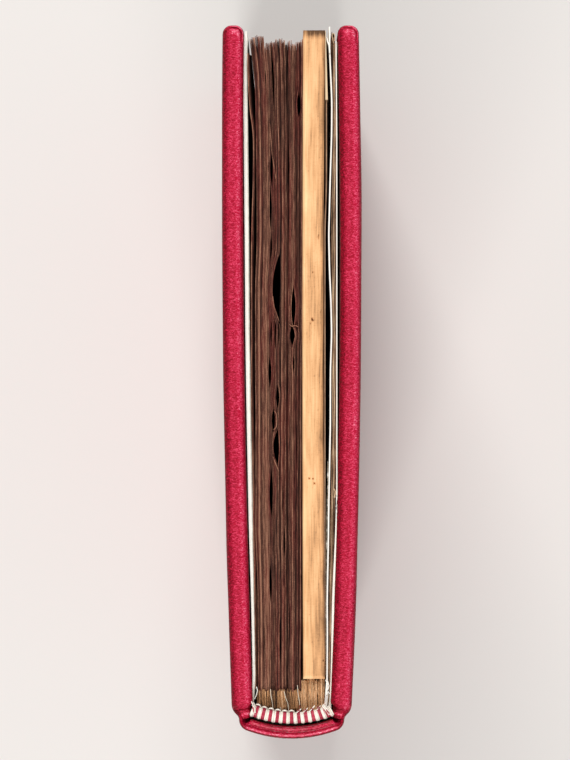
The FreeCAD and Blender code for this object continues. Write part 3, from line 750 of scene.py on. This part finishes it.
class BOOK_OT_pastedowns(bpy.types.Operator):
    """Pastedowns inside the covers, each with its paper joint"""

    bl_idname = "book.pastedowns"
    bl_label = "Pastedowns"

    def execute(self, context):
        white = paper("White endpaper, wove and sized", "#6e6250", "#efe9dc", "#fdfaf4", size=2.0,
                      contrast=0.4)
        ys = np.concatenate([np.linspace(-69.9, -68.3, 25), np.arange(-68, 70, 2.2), [71.2, 71.9, 72.0]])
        z = np.concatenate([[LEAF_TAIL, LEAF_TAIL + 0.2], np.arange(5, 200, 2.4),
                            [LEAF_HEAD - 0.2, LEAF_HEAD]])
        cover_thickness, paper_thickness = 4.4, 0.12
        for name, side in (("front", 1), ("back", -1)):
            rows = []
            for y in ys:
                face = outer_x(name, y) - cover_thickness
                turned = ease(y, 58.5, 61.5)
                edge = np.maximum(turned, 1 - ease(np.minimum(z, HEAD - z), 13.5, 16.5))
                x = face - 0.05 + 0.09 * (1 - edge)
                if y < -68.2:
                    x = np.full(len(z), face - 0.02 - 0.2 * ease(-y, 68.3, 69.6))
                rows.append(np.stack([x, np.full(len(z), y), z], axis=1))
            points = np.array(rows)
            inside = points + (paper_thickness, 0, 0)
            both = np.concatenate([points, inside[:, ::-1]], axis=1) * (side, 1, 1)
            shape = Shape()
            shape.grid(both, 0.68, wrap=True, caps=True)
            piece = shape.build(name + "_pastedown_paper", white)
            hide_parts(name + "_pastedown")
            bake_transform(piece)
        return {"FINISHED"}


class BOOK_OT_leaves(bpy.types.Operator):
    """The old leaves, one by one, cockled and parted by damp"""

    bl_idname = "book.leaves"
    bl_label = "Old leaves"

    def execute(self, context):
        rng = np.random.default_rng(21)
        old = paper("Old laid paper, damp-stained", "#150906", "#5a3428", "#ab7a60", (0.5, 9, 30), 0.4, 1.15,
                    "#6c3229")
        count = context.scene.book_sizes.leaves
        number = np.arange(count)
        # Thickness of each leaf, the bundle it belongs to and the air after it, as shares of the block
        thick = rng.uniform(0.7, 1.5, count)
        group = np.cumsum(rng.random(count) < 0.22)
        groups = group[-1] + 1
        opens = np.diff(group, append=group[-1]) > 0
        air = (rng.uniform(0.15, 0.5, count)
               + opens * rng.uniform(1.0, 4.2, count) * np.where(number < 0.3 * count, 0.2, 0.9))
        # How far each leaf lies below the head, how pale it is (at random, and darker as painted shade where
        # a bundle opens after it) and how far its tip is cut back
        sunk = rng.uniform(0, 0.8, groups)[group] + rng.uniform(0, 0.45, count)
        shade = rng.normal(0.45, 0.08, groups)[group] + rng.normal(0, 0.17, count) - 0.12 * opens
        cut_back = (rng.uniform(0, 0.24, groups)[group] + rng.uniform(-0.12, 0.2, count)) * (number > 3)
        middle = np.cumsum(thick + air) - thick / 2 - air / 2
        scale = 1 / (thick + air).sum()
        middle, thick, air = middle * scale, thick * scale, air * scale
        tips, feet = on_book(LEAF_TIPS), on_book(LEAF_FEET)
        gaps = [(on_book((column, (upper + lower) / 2)), (lower - upper) * PIXEL / 2, width * PIXEL, share)
                for column, upper, lower, width, share in LEAF_GAPS]
        shape = Shape()
        for n in range(count):
            tip_x, foot_x = [x_along(LEAVES_LEFT, y) * (1 - middle[n]) + x_along(LEAVES_RIGHT, y) * middle[n]
                             for y in (72, -62)]
            high = tips[np.argmin(np.abs(tips[:, 0] - tip_x)), 1] - cut_back[n] - 0.7 * (rng.random() < 0.08)
            low = np.interp(foot_x, feet[:, 0], feet[:, 1]) - rng.uniform(0, 2.2)
            y = np.linspace(low, high, 112)
            left, right = x_along(LEAVES_LEFT, y), x_along(LEAVES_RIGHT, y)
            home = left + (right - left) * middle[n]
            x = home.copy()
            # Each gap pushes the leaves at its sides apart, the near ones most
            for (gap_x, gap_y), half_length, width, right_share in gaps:
                opening = np.clip(1 - ((y - gap_y) / half_length) ** 2, 0, 1)
                away = np.interp(gap_y, y, home) - gap_x
                push = (right_share if away > 0 else right_share - 1) * width
                x += push * opening * math.exp(-abs(away) / (0.5 + 0.7 * abs(push)))
            x += waves(rng, y, (37, 17), 0.025)
            nick = 0.5 * (rng.random(len(y)) < 0.03)
            top = LEAF_HEAD - 0.1 - sunk[n] - np.abs(waves(rng, y, (23, 9, 4, 1.7), 0.16)) - nick
            top -= 0.4 * (1 - ease(y, -66.5, -62))
            sway = waves(rng, y, (60, 25), 0.12)
            tone = shade[n] + waves(rng, y, (40, 14, 5, 2.1), 0.06)
            tone += 0.35 * ease(y, high - 1.6, high) * (rng.random() < 0.7) - 0.07 * ease(y, 40, 60)
            tone += 0.16 * (1 - ease(middle[n], 0.16, 0.36)) * (1 - ease(y, 20, 45)) + 0.06
            wide = (right - left).mean()
            shape.ribbon(np.stack([x, y], axis=1), thick[n] * wide, LEAF_TAIL + rng.uniform(0, 0.3), top,
                         tone, sway=sway, pressed=air[n] * wide)
        # A dark floor down in each gap: painted shade where the leaves part
        for (gap_x, gap_y), half_length, width, right_share in gaps:
            y = np.linspace(gap_y - half_length, gap_y + half_length, 24)
            opening = width * (1 - ((y - gap_y) / half_length) ** 2)
            path = np.stack([gap_x + (right_share - 0.5) * opening, y], axis=1)
            shape.ribbon(path, opening + 0.1, LEAF_TAIL, LEAF_HEAD - 14, -0.2, (0, 1))
        for line in PALE_LEAVES:
            shape.ribbon(photo_path(line, 0.4), 0.14, LEAF_HEAD - 30, LEAF_HEAD - 0.05 - 0.1 * rng.random(),
                         0.8, (0, 0.6, 0.97, 1))
        finished(shape, "old_leaves", old, "leaf_block")

        loose = Shape()
        path = photo_path(LOOSE_LEAF)
        top = LEAF_HEAD - 0.5 - np.abs(waves(rng, path[:, 1], (19, 7, 3), 0.25))
        loose.ribbon(path, 0.2, LEAF_TAIL, top, 0.75 + waves(rng, path[:, 1], (23, 9), 0.1))
        loose.ribbon(path + (0.26, 0), 0.13, LEAF_TAIL, top - 0.5, 0.5, pressed=0.9)
        finished(loose, "loose_old_leaf", old, None)
        return {"FINISHED"}


class BOOK_OT_guards(bpy.types.Operator):
    """Paper guards that carry the leaves"""

    bl_idname = "book.guards"
    bl_label = "Paper guards"

    def execute(self, context):
        rng = np.random.default_rng(31)
        tan = paper("Guard paper, folded stubs", "#3d2619", "#b98558", "#e8c096", (0.6, 7, 20), 0.4, 0.9)
        shape = Shape()
        # X of the first and the last guard, and the radius of their round back
        x, last_x, back_radius = -7.35, 6.95, 23.9
        while x < last_x:
            thick = rng.uniform(0.1, 0.2)
            middle = x + thick / 2
            top_y = (-64.9 if middle < 2.1 else -62.75) + rng.uniform(-0.35, 0.25)
            low_y = SPINE_CENTRE[1] - math.sqrt(back_radius ** 2 - middle ** 2)
            y = np.linspace(low_y, top_y, 30)
            lean = rng.uniform(-0.05, 0.05) - 0.5 * ease(middle, -3, -1) * (1 - ease(middle, 1.2, 2.2))
            wavy = waves(rng, y, (7.5, 3.6, 1.6), 0.04) * ease(y, low_y + 1.2, low_y + 3)
            path = np.stack([middle + wavy + lean * (y - low_y) / 7, y], axis=1)
            path[:, 0] = np.minimum(path[:, 0], 6.9 - thick / 2)
            high = LEAF_HEAD - 0.15 - rng.uniform(0, 0.6) - np.abs(waves(rng, y, (4, 1.5), 0.12))
            high -= 1.6 * (1 - ease(y, low_y + 0.6, low_y + 3.4)) * (middle < 2.2)
            if middle > 1.8:
                tone = rng.uniform(0.3, 0.8)
            else:
                tone = rng.choice([0.1, 0.2, 0.28, 0.4, 0.55]) + 0.35 * (-2.4 < middle < -0.9)
                # Painted shade: these stubs darken toward their round back, under the headband
                tone = tone - 0.45 * (1 - ease(y, low_y + 0.9, low_y + 3.2))
            shape.ribbon(path, thick * np.clip(ease(top_y - y, -0.4, 0.3), 0.5, 1), LEAF_TAIL, high, tone)
            x += thick + rng.uniform(-0.02, 0.03) + (rng.random() < 0.1) * 0.13
        finished(shape, "guard_stubs", tan, "leaf_guards")
        return {"FINISHED"}


class BOOK_OT_wooden_board(bpy.types.Operator):
    """The old wooden board with its worm holes, and the old leaf on it"""

    bl_idname = "book.wooden_board"
    bl_label = "Wooden board"

    def execute(self, context):
        rng = np.random.default_rng(41)
        wood = old_wood("Old hardwood board, bare", "#5f4026", "#dca470", "#fbd09a")
        low, high = box_mm("old_wooden_board")
        low[1] += 0.75
        thick, length = 4.4, high[1] - low[1]
        xs = np.concatenate([[0, 0.12, 0.28], np.linspace(0.45, 3.95, 24), [4.12, 4.28, thick]]) + low[0]
        ys = np.concatenate([np.linspace(0, 1.2, 10), np.linspace(1.2, length - 1.2, 900)[1:-1],
                             np.linspace(length - 1.2, length, 10)]) + low[1]
        gx, gy = np.meshgrid(xs, ys, indexing="ij")
        rim = np.minimum(np.minimum(gx - low[0], high[0] - gx), np.minimum(gy - low[1], high[1] - gy))
        head_z = high[2] - 0.45 * (1 - ease(rim, -0.1, 0.5)) ** 1.5
        # Painted light: the head is lighter toward its low-X side and darker toward its high-X side
        tone = 0.5 + 0.22 * ease(2.2 - (gx - low[0]), 0, 2.2) - 0.12 * ease(gx - low[0], 2.6, thick)
        tone -= 0.16 * (1 - ease(gy, low[1], low[1] + 38))
        tone -= 0.55 * ease(gy, high[1] - 2.2, high[1] - 0.3) + 0.1 * (1 - ease(rim, 0, 0.35))
        # A pale band along the end toward the spine is a painted highlight on the cut edge
        tone += 0.35 * (1 - ease(gy - low[1], 0.0, 0.9))
        for column, row, across, along in WORM_HOLES:
            x, y = on_book((column, row))
            far = np.hypot((gx - x) / (across * PIXEL), (gy - y) / (along * PIXEL))
            hole = across / 1.3
            head_z -= 1.1 * hole ** 2 * (1 - ease(far, 0.75, 1.1))
            # Painted shade inside each hole
            tone -= 0.9 * hole ** 2 * (1 - ease(far, 0.3, 1.4))
        pores = 240
        for _ in range(pores):
            x, y = rng.uniform(low[0] + 0.3, high[0] - 0.3), rng.uniform(low[1] + 1, high[1] - 1)
            far = np.hypot((gx - x) / 0.11, (gy - y) / rng.uniform(0.12, 0.3))
            tone -= rng.uniform(0.03, 0.18) * np.exp(-far ** 2)
        head_z += 0.02 * np.sin(gy / 3.1) + 0.015 * np.sin(gx * 4 + gy / 7)
        # The board is bowed a little along its length
        middle = (low[1] + high[1]) / 2
        bend = ((gy - middle) / (high[1] - middle)) ** 2
        gx = gx + 0.16 * bend + 0.2 * bend * (gx - low[0]) / thick
        shape = Shape()
        head = np.stack([gx, gy, head_z], axis=-1)
        shape.grid(head, tone)
        edge = border(head)
        levels = [edge] + [np.column_stack([edge[:, :2], np.full(len(edge), z)]) for z in
                           (high[2] - 1, high[2] - 3, high[2] - 40, 100, 40, low[2] + 0.5, low[2])]
        shape.grid(np.stack(levels), np.tile(border(tone), (len(levels), 1)), wrap=True)
        foot = np.stack([gx, gy, np.full(gx.shape, low[2])], axis=-1)[:, ::30]
        shape.grid(foot, 0.4)
        finished(shape, "old_board", wood, "old_wooden_board")

        rag = paper("Old rag leaf on the board", "#5a3a24", "#a58264", "#dcc09a", (1, 6, 20), 0.8, 1.0)
        shape = Shape()
        path = photo_path(WOOD_LEAF)
        top = LEAF_HEAD + 0.4 - np.abs(waves(rng, path[:, 1], (21, 8, 3), 0.3))
        shape.ribbon(path, 0.24, LEAF_TAIL, top, 0.35)
        sliver = photo_path(((325.6, 30), (326.0, 60), (326.7, 99)), 0.8)
        width = np.interp(sliver[:, 1], on_book(((0, 99), (0, 30)))[:, 1], (0.5, 0.1))
        shape.ribbon(sliver, width, LEAF_TAIL, LEAF_HEAD + 0.9, 1.0)
        finished(shape, "old_leaf_on_board", rag, "old_pastedown")
        return {"FINISHED"}


class BOOK_OT_flyleaves(bpy.types.Operator):
    """White and old flyleaves at both sides"""

    bl_idname = "book.flyleaves"
    bl_label = "Flyleaves"

    def execute(self, context):
        rng = np.random.default_rng(51)
        white = bpy.data.materials["White endpaper, wove and sized"]
        rag = paper("Old rag flyleaf", "#4d3423", "#a58264", "#d9bb95", (1, 6, 20), 0.8, 1.1)

        back = Shape()
        path = photo_path(WHITE_BACK_LEAVES)
        y = path[:, 1]
        closer = 1 - ease(y, -50, -20)
        narrow = 1.08 - 0.55 * ease(y, 73, 74.6) - 0.2 * (1 - ease(y, -68.2, -66)) - 0.36 * closer
        # The last leaf, nearest the text block, is toned dark olive as painted shade
        for k, tone in enumerate((0.74, 0.62, 0.72, 0.5, 0.3)):
            offset = (k - 1.95 - 0.35 * closer) * 0.168 * narrow
            start = 1 if k in (0, 4) else 0
            top = LEAF_HEAD - 0.05 - 0.12 * rng.random() - np.abs(waves(rng, y, (33, 11), 0.04))
            back.ribbon(shifted(path, offset)[start:], (0.16 * narrow)[start:], LEAF_TAIL,
                        top[start:] - 0.3 * (k == 4), tone)
        back.scrap(((254.4, 700), (256.4, 696), (257.4, 691), (256.4, 688)), 0.3, 0.15, 12, 0.1)
        finished(back, "back_white_flyleaves", white, "back_flyleaves")

        inner = Shape()
        path = photo_path(WHITE_INNER_LEAF)
        top = LEAF_HEAD - 0.1 - np.abs(waves(rng, path[:, 1], (33, 11), 0.06))
        inner.ribbon(path, 0.28 + 0.34 * (1 - ease(path[:, 1], -66, -62)), LEAF_TAIL, top, 0.72)
        path = photo_path(CRUMPLED_LEAF, 0.4)
        y = path[:, 1]
        top = LEAF_HEAD - 0.5 - np.abs(waves(rng, y, (9, 3.5, 1.4), 0.5))
        inner.ribbon(path, 0.26 + waves(rng, y, (5, 2.2), 0.08), LEAF_HEAD - 40, top,
                     0.02 + waves(rng, y, (7, 3, 1.3), 0.16))
        inner.scrap(WHITE_INNER_BRANCH, 0.3, 0.3, 40, 0.2)
        for crinkle in (((325.6, 681), (327.6, 684), (326.2, 688), (328.4, 692), (326.6, 696)),
                        ((327.8, 682), (329.2, 687), (327.9, 691), (329.6, 695))):
            inner.scrap(crinkle, 0.25, 0.16, 10, 0.1)
        finished(inner, "front_white_inner_flyleaf", white, "front_flyleaf_inner")

        old = Shape()
        path = photo_path(OLD_FRONT_LEAVES)
        y = path[:, 1]
        sheets = ((-0.52, 0.1), (-0.26, 0.45), (0.0, 0.7), (0.24, 0.3), (0.46, 0.2))
        for k, (offset, shade) in enumerate(sheets):
            top = LEAF_HEAD - 0.3 - 0.2 * rng.random() - np.abs(waves(rng, y, (27, 9, 3), 0.15))
            moved = shifted(path, offset + waves(rng, y, (40, 15), 0.05))
            tone = shade + waves(rng, y, (24, 9), 0.15)
            tone -= 0.2 * (1 - ease(y, -40, -10)) - 0.25 * (k == 3) * (1 - ease(y, -60, -46))
            old.ribbon(moved[k:], 0.15, LEAF_TAIL, top[k:] - 0.5 * (k in (0, 4)), tone[k:])
        loop = ((334.8, 40), (334.9, 35), (334.2, 32.2), (332.9, 32), (332.3, 34.4), (332.9, 38), (333.8, 42))
        old.scrap(loop, 0.25, 0.15, 40, -0.2, 0.8)
        old.scrap(((334, 489), (335.6, 492), (335.2, 495), (334.2, 498)), 0.3, 0.2, 8, 0)
        finished(old, "front_old_tan_flyleaves", rag, "front_old_flyleaves")

        outer = Shape()
        path = photo_path(WHITE_OUTER_LEAF)
        y = path[:, 1]
        top = LEAF_HEAD - 0.2 - np.abs(waves(rng, y, (29, 12), 0.08))
        turned = 1 - ease(y, -52, -16)
        outer.ribbon(shifted(path, -0.04 * turned), 0.22 + 0.26 * turned, LEAF_TAIL, top,
                     0.62 - 0.1 * turned + waves(rng, y, (13, 5), 0.07) * turned)
        for crinkle in (((336.2, 497), (337.6, 502), (336, 507), (337.8, 512), (336.2, 518), (337.2, 525)),
                        ((337.6, 500), (336.4, 509), (337.6, 517))):
            outer.scrap(crinkle, 0.3, 0.15, 10, 0.05)
        finished(outer, "front_white_outer_flyleaf", white, "front_flyleaf_outer")
        return {"FINISHED"}


def round_spine(angle, radius, z):
    """A point at an angle and radius about the centre of the rounded back."""
    y = SPINE_CENTRE[1] - radius * np.cos(angle)
    return np.stack(np.broadcast_arrays(radius * np.sin(angle), y, z), axis=-1)


class BOOK_OT_headbands(bpy.types.Operator):
    """Sewn silk headbands at head and tail"""

    bl_idname = "book.headbands"
    bl_label = "Headbands"

    def execute(self, context):
        sizes = context.scene.book_sizes
        silks = {"white": silk("Undyed silk thread, hand-wound", "#b9a88c", "#fbf4e6"),
                 "red": silk("Madder-dyed silk thread, hand-wound", "#5a0618",
                             context.scene.book_colours.red_silk)}
        # Width of a wrap, and radius of a thread as a share of the threads' distance
        pitches = {"white": 0.78, "red": 0.74}
        swell = {"white": 0.52, "red": 0.56}
        wraps = WHITE_WRAPS + RED_WRAPS
        for end in ("head", "tail"):
            rng = np.random.default_rng(61 if end == "head" else 62)
            shapes = {"white": Shape(), "red": Shape()}
            place = -(WHITE_WRAPS * pitches["white"] + RED_WRAPS * pitches["red"]) / 2
            for n in range(wraps):
                colour = "red" if n % 2 else "white"
                lean = rng.normal(0.1, 0.09)
                threads = sizes.red_threads if colour == "red" else sizes.white_threads
                fan = 0.4 * ease(n, 16, 22) if end == "head" else 0.0
                for k in range(threads):
                    step = pitches[colour] / threads
                    arc = place + step * (k + 0.5)
                    turn = np.linspace(-0.35, math.pi + 0.35, 15)
                    full = 0.16 * math.sin(math.pi * (k + 0.5) / threads) if colour == "white" else 0.0
                    radius = BAND_RADIUS - 1.12 * np.cos(turn) - 0.05 + full * (turn > 1.6)
                    z = LEAF_HEAD + 1.15 + 1.12 * np.sin(turn) + rng.uniform(-0.03, 0.03)
                    radius = np.concatenate([[radius[0] + 0.05], radius, [radius[-1] - 0.05]])
                    z = np.concatenate([[LEAF_HEAD + 0.1], z, [LEAF_HEAD + 0.1]])
                    slant = np.linspace(-0.5, 0.5, len(z)) * (lean + fan * 1.3) + rng.normal(0, 0.02)
                    path = round_spine((arc + slant) / BAND_RADIUS, radius, z)
                    shapes[colour].tube(path, step * swell[colour], rng.uniform(0.45, 0.85))
                middle = (place + pitches[colour] / 2) / BAND_RADIUS
                # At each red wrap a bead of three turns, and a white thread that crosses to the next wrap
                if colour == "red":
                    spot = round_spine(middle, 21.3, LEAF_HEAD + 1.35)
                    for k in range(3):
                        turn = np.linspace(0, 2 * math.pi, 13)
                        knot = np.stack([spot[0] + 0.24 * np.cos(turn), spot[1] + 0.2 * np.sin(turn),
                                         spot[2] - 0.1 + 0.13 * k + 0.06 * np.sin(turn + k)], axis=1)
                        shapes["red"].tube(knot, 0.1, 0.35)
                    t = np.linspace(0, 1, 14)
                    reach = rng.uniform(0.75, 1.25)
                    if n < wraps / 2:
                        angle = middle + (t - 0.55) * 1.3 / BAND_RADIUS
                        path = round_spine(angle, 21.5 - 0.34 * reach * np.sin(math.pi * t) ** 0.7,
                                           LEAF_HEAD + 1.2 + 0.5 * np.sin(math.pi * t))
                    else:
                        angle = middle + (t - 0.5) * 1.3 * reach / BAND_RADIUS
                        path = round_spine(angle, 21.75 - 0.85 * reach * t, LEAF_HEAD + 1.75 - 0.6 * t)
                    shapes["white"].tube(path, 0.085, 0.75)
                    shapes["white"].tube(path + (0.04, 0.14, -0.06), 0.07, 0.6)
                place += pitches[colour]
            # Frayed ends at both shoulders
            for middle_x, span, middle_y, strands in ((-7.9, 0.7, -68.6, 9), (7.1, 1.6, -69.1, 16)):
                for k in range(strands):
                    t = np.linspace(0, 1, 16)
                    slope = rng.uniform(0.2, 1.0)
                    x = middle_x + span * (rng.uniform(-0.3, 0.3) + (t - 0.5) * slope)
                    x += waves(rng, t, (0.6, 0.3), 0.1)
                    y = middle_y + rng.uniform(-0.6, 0.6) - 1.5 * (t - 0.5) + waves(rng, t, (0.7, 0.35), 0.16)
                    z = LEAF_HEAD + rng.uniform(1.6, 2.3) + 0.4 * np.sin(math.pi * t)
                    shapes["red" if k in (4, 11) else "white"].tube(np.stack([x, y, z], axis=1), 0.11,
                                                                    rng.uniform(0.5, 0.85))
            if end == "head":
                for line, is_red in STRAY_THREADS:
                    path = photo_path(line, 0.35)
                    z = LEAF_HEAD + 0.12 + waves(rng, path[:, 1], (3, 1.3), 0.05)
                    shapes["red" if is_red else "white"].tube(np.column_stack([path, z]), 0.075, 0.3)
            # The tail band is built at the head and turned over
            for colour, shape in shapes.items():
                if end == "tail":
                    for points in shape.points:
                        points[:, 2] = HEAD - points[:, 2]
                finished(shape, end + "_" + colour + "_silk_threads", silks[colour],
                         end + "_band_" + colour + "_silk", crease=60)
        return {"FINISHED"}


class BOOK_OT_hidden_parts(bpy.types.Operator):
    """Finishes of the boards, linings, tapes and cores kept from the frame"""

    bl_idname = "book.hidden_parts"
    bl_label = "Hidden parts"

    def execute(self, context):
        board = plain("Mill board, rolled from rope fibre", "#8d7a63", 0.9, 1.4, 0.05)
        card = plain("Card lining, calendered", "#d8ccb4", 0.8, 0.9, 0.03)
        tape = plain("Linen tape, unbleached", "#dacdb2", 0.9, 0.35, 0.06)
        cloth = plain("Spine cloth, glued and starched", "#3b2c20", 0.9, 0.3, 0.05)
        kraft = plain("Kraft paper tube, glued", "#a98558", 0.8, 0.8, 0.03)
        core = plain("Band core, rolled vellum", "#d9c7a0", 0.6, 0.5, 0.02)
        finishes = {"front_board": board, "back_board": board, "front_board_lining": card,
                    "back_board_lining": card, "front_tape_slips": tape, "back_tape_slips": tape,
                    "sewing_tapes": tape, "spine_lining": cloth, "spine_hollow_tube": kraft,
                    "head_band_core": core, "tail_band_core": core}
        for name, material in finishes.items():
            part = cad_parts[name]
            part.data.materials.clear()
            part.data.materials.append(material)
        return {"FINISHED"}


class BOOK_OT_stage(bpy.types.Operator):
    """Pale floor, soft studio light and a camera over the head of the book"""

    bl_idname = "book.stage"
    bl_label = "Stage"

    def execute(self, context):
        scene = context.scene
        material, tree, shader, place = new_material("Studio floor, matt")
        shader.inputs["Base Color"].default_value = linear("#dedbd6")
        shader.inputs["Roughness"].default_value = 0.9
        mesh = bpy.data.meshes.new("floor")
        mesh.from_pydata([(-3, -3, 0), (3, -3, 0), (3, 3, 0), (-3, 3, 0)], [], [(0, 1, 2, 3)])
        mesh.materials.append(material)
        floor = bpy.data.objects.new("floor", mesh)
        scene.collection.objects.link(floor)

        world = bpy.data.worlds.new("Studio")
        world.use_nodes = True
        world.node_tree.nodes["Background"].inputs["Color"].default_value = linear("#eef1f5")
        world.node_tree.nodes["Background"].inputs["Strength"].default_value = 0.3
        scene.world = world
        aim = Vector((0, 0, HEAD * MM))
        for name, spot, size, power in (("fore edge side", (-0.15, 1.0, 1.15), 0.55, 16),
                                        ("spine side", (-0.1, -1.0, 1.1), 0.55, 14)):
            lamp = bpy.data.lights.new(name, "AREA")
            lamp.size = size
            lamp.energy = power
            light = bpy.data.objects.new(name, lamp)
            light.location = spot
            light.rotation_euler = (aim - light.location).to_track_quat("-Z", "Y").to_euler()
            scene.collection.objects.link(light)

        lens = bpy.data.cameras.new("camera")
        camera = bpy.data.objects.new("camera", lens)
        centre = on_book(VIEW_CENTRE)
        camera.location = (centre[0] * MM, centre[1] * MM, (HEAD + CAMERA_HEIGHT) * MM)
        lens.sensor_fit = "HORIZONTAL"
        lens.lens = lens.sensor_width * CAMERA_HEIGHT / (VIEW_WIDTH * PIXEL)
        lens.clip_end = 20
        lens.dof.use_dof = False
        scene.collection.objects.link(camera)
        scene.camera = camera
        scene.view_settings.view_transform = "Standard"
        return {"FINISHED"}


OPERATORS = (BOOK_OT_covers, BOOK_OT_spine, BOOK_OT_pastedowns, BOOK_OT_leaves, BOOK_OT_guards,
             BOOK_OT_wooden_board, BOOK_OT_flyleaves, BOOK_OT_headbands, BOOK_OT_hidden_parts, BOOK_OT_stage)


class BOOK_PT_panel(bpy.types.Panel):
    """Lists the pieces of the book"""

    bl_label = "Antique leather book"
    bl_idname = "BOOK_PT_panel"
    bl_space_type = "VIEW_3D"
    bl_region_type = "UI"
    bl_category = "Book"

    def draw(self, context):
        for group in (context.scene.book_sizes, context.scene.book_colours):
            for key in group.__annotations__:
                self.layout.prop(group, key)
        for operator in OPERATORS:
            self.layout.operator(operator.bl_idname)


CLASSES = (BookSizes, BookColours) + OPERATORS + (BOOK_PT_panel,)


def register():
    for item in CLASSES:
        bpy.utils.register_class(item)
    bpy.types.Scene.book_sizes = PointerProperty(type=BookSizes)
    bpy.types.Scene.book_colours = PointerProperty(type=BookColours)


def unregister():
    del bpy.types.Scene.book_sizes
    del bpy.types.Scene.book_colours
    for item in reversed(CLASSES):
        bpy.utils.unregister_class(item)


def main():
    """Builds the book and its stage."""
    register()
    for operator in OPERATORS:
        group, name = operator.bl_idname.split(".")
        getattr(getattr(bpy.ops, group), name)()


if __name__ == "__main__":
    main()
